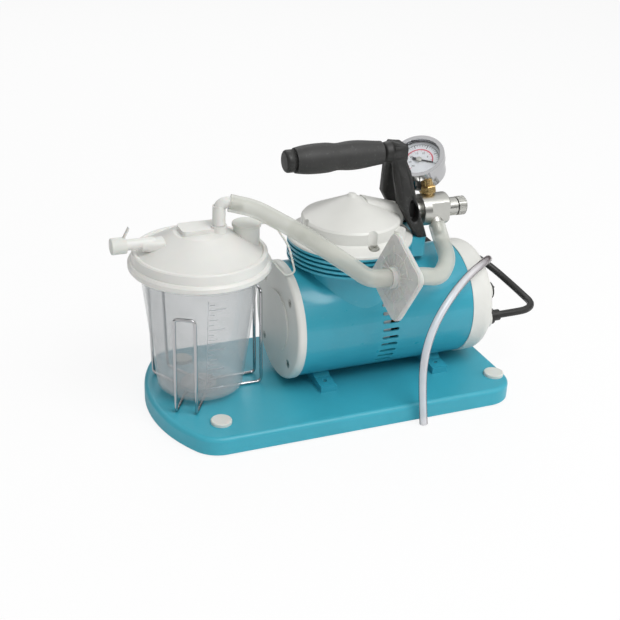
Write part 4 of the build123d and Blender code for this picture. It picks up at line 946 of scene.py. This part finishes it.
@dataclass
class FilterDetail:
    """Ribs and rings of the square in-line filter."""

    centre: Point = (27.5, -93.0, 155.8)
    across: Point = (0.13, -0.94, 0.31)
    normal: Point = (-0.987, -0.096, 0.122)
    rib_count: int = 24

    def build(self) -> None:
        """Make the ribs on both faces and the weld line round the edge."""
        made = bmesh.new()
        for sign in (1.0, -1.0):
            place = frame_at(at(*self.centre), Vector(self.normal) * sign, Vector(self.across))
            for index in range(self.rib_count):
                angle = 2 * math.pi * index / self.rib_count
                reach = 21.0 if index % 3 else 25.0
                turn = Matrix.Rotation(angle, 4, "Z")
                shift = Matrix.Translation(Vector(((10.0 + reach) / 2 * MM, 0, 2.75 * MM)))
                Mesher.slab(made, (reach - 10.0, 0.7, 1.1), place @ turn @ shift, 0.2)
            Mesher.lathe(made, [(20.6, 2.4), (21.6, 2.4), (21.4, 3.3), (20.8, 3.3)], place, 64)
            Mesher.lathe(made, [(9.6, 2.4), (11.2, 2.4), (10.8, 3.8), (9.6, 4.2)], place, 48)
        Mesher.finish_mesh("filter_ribs", made, Finishes.MILKY, "base", "milky_plastic")


@dataclass
class GaugeFace:
    """Printed face of the vacuum gauge: scale, numbers, bands and hub."""

    centre: Point = (103.4, 25.6, 222.1)
    normal: Point = (-0.42, -0.35, 0.838)
    along: Point = (0.9, -0.2, 0.37)
    start_degrees: float = -42.0
    face_depth: float = -5.95
    sweep: float = 250.0
    divisions: int = 30
    outer: float = 19.2
    red_divisions: int = 15
    red_ring: Pair = (10.9, 12.6)
    number_ring: float = 8.9
    number_size: float = 3.3
    place: Matrix = field(init=False)

    def build(self) -> None:
        """Make the face."""
        upright = frame_at(at(*self.centre), Vector(self.normal), Vector(self.along))
        self.place = upright @ Matrix.Rotation(math.radians(self.start_degrees), 4, "Z")
        self._pointer(upright)
        marks = bmesh.new()
        for index in range(self.divisions + 1):
            angle = math.radians(self.sweep * index / self.divisions)
            long_mark = index % 5 == 0
            inner, width = (15.4, 0.55) if long_mark else (17.2, 0.28)
            self._bar(marks, angle, inner, self.outer, width)
        self._arc(marks, self.outer, self.outer + 0.4)
        Mesher.finish_mesh("gauge_scale", marks, Finishes.INK, "base", "pointer_black")
        band = bmesh.new()
        self._arc(band, self.red_ring[1], 14.0)
        for index in range(self.red_divisions + 1):
            angle = math.radians(self.sweep * index / self.red_divisions)
            self._bar(band, angle, *self.red_ring, 0.25)
        Mesher.finish_mesh("gauge_red_scale", band, Finishes.RED_INK, "base", "pointer_black")
        self._numbers()
        hub = bmesh.new()
        Mesher.lathe(hub, [(0, -5.0), (3.0, -5.0), (3.0, -4.1), (2.3, -3.5), (0, -3.3)], self.place, 40)
        Mesher.finish_mesh("gauge_hub", hub, Finishes.NICKEL, "pointer", "nickel")

    def _pointer(self, upright: Matrix) -> None:
        """Turn the pointer to the photographed zero of the scale.

        Args:
            upright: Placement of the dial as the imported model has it.
        """
        made = Mesher.copied("gauge_pointer")
        spin = Matrix.Rotation(math.radians(self.start_degrees), 4, "Z")
        bmesh.ops.transform(made, matrix=upright @ spin @ upright.inverted(), verts=made.verts)
        pointer = Mesher.finish_mesh("gauge_needle", made, Finishes.INK, "pointer", "pointer_black")
        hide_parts("gauge_pointer")

    def _bar(self, made: bmesh.types.BMesh, angle: float, inner: float, outer: float, width: float) -> None:
        """Print one radial mark.

        Args:
            made: Bmesh to add to.
            angle: Angle in radians from zero.
            inner: Inner radius in millimetres.
            outer: Outer radius in millimetres.
            width: Width in millimetres.
        """
        turn = Matrix.Rotation(angle, 4, "Z")
        shift = Matrix.Translation(Vector(((inner + outer) / 2 * MM, 0, self.face_depth * MM)))
        Mesher.slab(made, (outer - inner, width, 0.12), self.place @ turn @ shift)

    def _arc(self, made: bmesh.types.BMesh, inner: float, outer: float) -> None:
        """Print an arc along the whole sweep.

        Args:
            made: Bmesh to add to.
            inner: Inner radius in millimetres.
            outer: Outer radius in millimetres.
        """
        steps = 60
        rows = []
        for index in range(steps + 1):
            angle = math.radians(self.sweep * index / steps)
            spots = [Vector((r * math.cos(angle), r * math.sin(angle), self.face_depth + 0.05)) * MM
                     for r in (inner, outer)]
            rows.append([made.verts.new(self.place @ spot) for spot in spots])
        for first, second in zip(rows, rows[1:]):
            made.faces.new((first[0], first[1], second[1], second[0]))

    def _numbers(self) -> None:
        """Print the plain numbers of the scale."""
        for index in range(0, self.divisions + 1, 5):
            angle = math.radians(self.sweep * index / self.divisions)
            text = bpy.data.curves.new(f"number_{index}", "FONT")
            text.body = str(index)
            text.size = self.number_size * MM
            text.align_x = "CENTER"
            text.align_y = "CENTER"
            letters = bpy.data.objects.new(f"number_{index}_text", text)
            bpy.context.scene.collection.objects.link(letters)
            bpy.context.view_layer.update()
            shown = letters.evaluated_get(bpy.context.evaluated_depsgraph_get())
            mesh = bpy.data.meshes.new_from_object(shown)
            bpy.data.objects.remove(letters)
            shape = bmesh.new()
            shape.from_mesh(mesh)
            bpy.data.meshes.remove(mesh)
            level = Matrix.Rotation(math.radians(-22.0 - self.start_degrees), 4, "Z")
            ring = self.number_ring
            spot = Vector((ring * math.cos(angle), ring * math.sin(angle), self.face_depth + 0.06))
            shift = Matrix.Translation(spot * MM)
            bmesh.ops.transform(shape, matrix=self.place @ shift @ level, verts=shape.verts)
            Mesher.finish_mesh(f"gauge_number_{index}", shape, Finishes.INK, "base", "pointer_black")


@dataclass
class VentedShell:
    """Motor shell whose row of vent slots sits as high round the drum as in the photograph."""

    axis: Pair = (5.5, 78.5)
    angle_map: tuple[Pair, ...] = (
        (0.0, 0.0), (140.0, 140.0), (196.0, 149.0), (272.0, 225.0), (360.0, 360.0),
    )

    def build(self) -> None:
        """Make the copy with its slots slid round the drum."""
        made = Mesher.copied("motor_shell")
        centre = at(0.0, *self.axis)
        for vert in made.verts:
            offset = vert.co - centre
            radius = math.hypot(offset.y, offset.z)
            angle = math.radians(self._slid(math.degrees(math.atan2(offset.z, offset.y)) % 360.0))
            vert.co.y = centre.y + radius * math.cos(angle)
            vert.co.z = centre.z + radius * math.sin(angle)
        shell = Mesher.finish_mesh("motor_shell_vented", made, Finishes.TEAL_ENAMEL, "base", "teal_paint")
        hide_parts("motor_shell")

    def _slid(self, degrees: float) -> float:
        """Map an angle of the CAD shell to its place on the photographed one.

        Args:
            degrees: Angle round the drum, from the rear towards the top.

        Returns:
            The new angle in degrees.
        """
        for (start, new_start), (end, new_end) in zip(self.angle_map, self.angle_map[1:]):
            if start <= degrees <= end:
                return new_start + (new_end - new_start) * (degrees - start) / (end - start)
        return degrees


@dataclass
class SoftElbow:
    """Handle bracket with the smaller, rounder corner block of the photograph."""

    corner: Point = (67.0, 4.0, 237.5)
    reach: float = 22.0
    shrink: float = 0.83
    corner_radius: float = 10.8
    window: float = 16.0

    def build(self) -> None:
        """Make the reshaped copy."""
        made = Mesher.copied("handle_bracket")
        centre = at(*self.corner)
        for vert in made.verts:
            offset = vert.co - centre
            window = self.window * MM
            if offset.z > -window and abs(offset.x) < self.reach * MM and abs(offset.y) < window:
                offset *= self.shrink
                span = math.hypot(offset.x, offset.z)
                if offset.x > 0 and offset.z > 0 and span > self.corner_radius * MM:
                    offset.x *= self.corner_radius * MM / span
                    offset.z *= self.corner_radius * MM / span
                vert.co = centre + offset
        elbow = Mesher.finish_mesh("handle_bracket_soft", made, Finishes.BLACK_MOULDING, "base",
                                   "black_plastic")
        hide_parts("handle_bracket")


@dataclass
class LiftingHose:
    """Suction hose, copied from its CAD node with its finish."""

    still_end: Point = (-12.0, -80.0, 167.0)
    lifted_end: Point = (-80.0, -10.0, 202.0)

    def build(self) -> None:
        """Make the copy."""
        made = Mesher.copied("suction_hose")
        bmesh.ops.remove_doubles(made, verts=made.verts, dist=1e-7)
        hose = Mesher.dressed("suction_hose_bending", made, Finishes.SILICONE, "milky_silicone", 40.0)
        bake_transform(hose)
        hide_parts("suction_hose")
        log.info("hose bends between base and jar")


@dataclass
class GaugeSupply:
    """Brass nipple that rises from the regulator to the lower edge of the gauge."""

    foot: Point = (108.5, 6.0, 188.0)
    head: Point = (107.0, 9.5, 203.5)

    def build(self) -> None:
        """Make the nipple with its hexagon."""
        foot, head = at(*self.foot), at(*self.head)
        place = frame_at(foot, head - foot, Vector((1, 0, 0)))
        tall = (head - foot).length / MM
        made = bmesh.new()
        Mesher.lathe(made, [(0, 0), (4.4, 0), (4.4, tall), (0, tall)], place, 40, closed=True)
        Mesher.lathe(made, [(0, 3.5), (7.2, 3.5), (7.8, 4.2), (7.8, 9.3), (7.2, 10.0), (0, 10.0)], place, 6)
        Mesher.finish_mesh("gauge_supply", made, Finishes.BRASS, "base", "brass_fitting")


class CadDressing:
    """Gives every carried-over CAD node its finish."""

    def __init__(self, nodes: dict[str, bpy.types.Object]) -> None:
        """Keep the nodes.

        Args:
            nodes: CAD objects by node name.
        """
        self.nodes = nodes

    def build(self) -> None:
        """Assign the finishes."""
        for name, node in self.nodes.items():
            material = NODE_FINISH[name].build()
            if not node.material_slots:
                node.data.materials.append(material)
            for slot in node.material_slots:
                slot.material = material
        log.info("%d nodes dressed", len(self.nodes))


def main() -> None:
    """Build the scene in order."""
    logging.basicConfig(level=logging.INFO, format="%(name)s %(message)s")
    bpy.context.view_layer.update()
    builders: list[tuple[str, Callable[[], None]]] = [
        ("camera", CameraRig().build),
        ("mains cord", MainsCord().build),
        ("drain tube", DrainTube().build),
        ("studio", Studio().build),
        ("cad nodes", CadDressing(frame["nodes"]).build),
        ("vented shell", VentedShell().build),
        ("handle corner", SoftElbow().build),
        ("bending hose", LiftingHose().build),
        ("gauge supply", GaugeSupply().build),
        ("jar marks", JarMarks().build),
        ("filter", FilterDetail().build),
        ("gauge face", GaugeFace().build),
    ]
    for name, build in builders:
        build()
        log.info("built: %s", name)


if __name__ == "__main__":
    main()
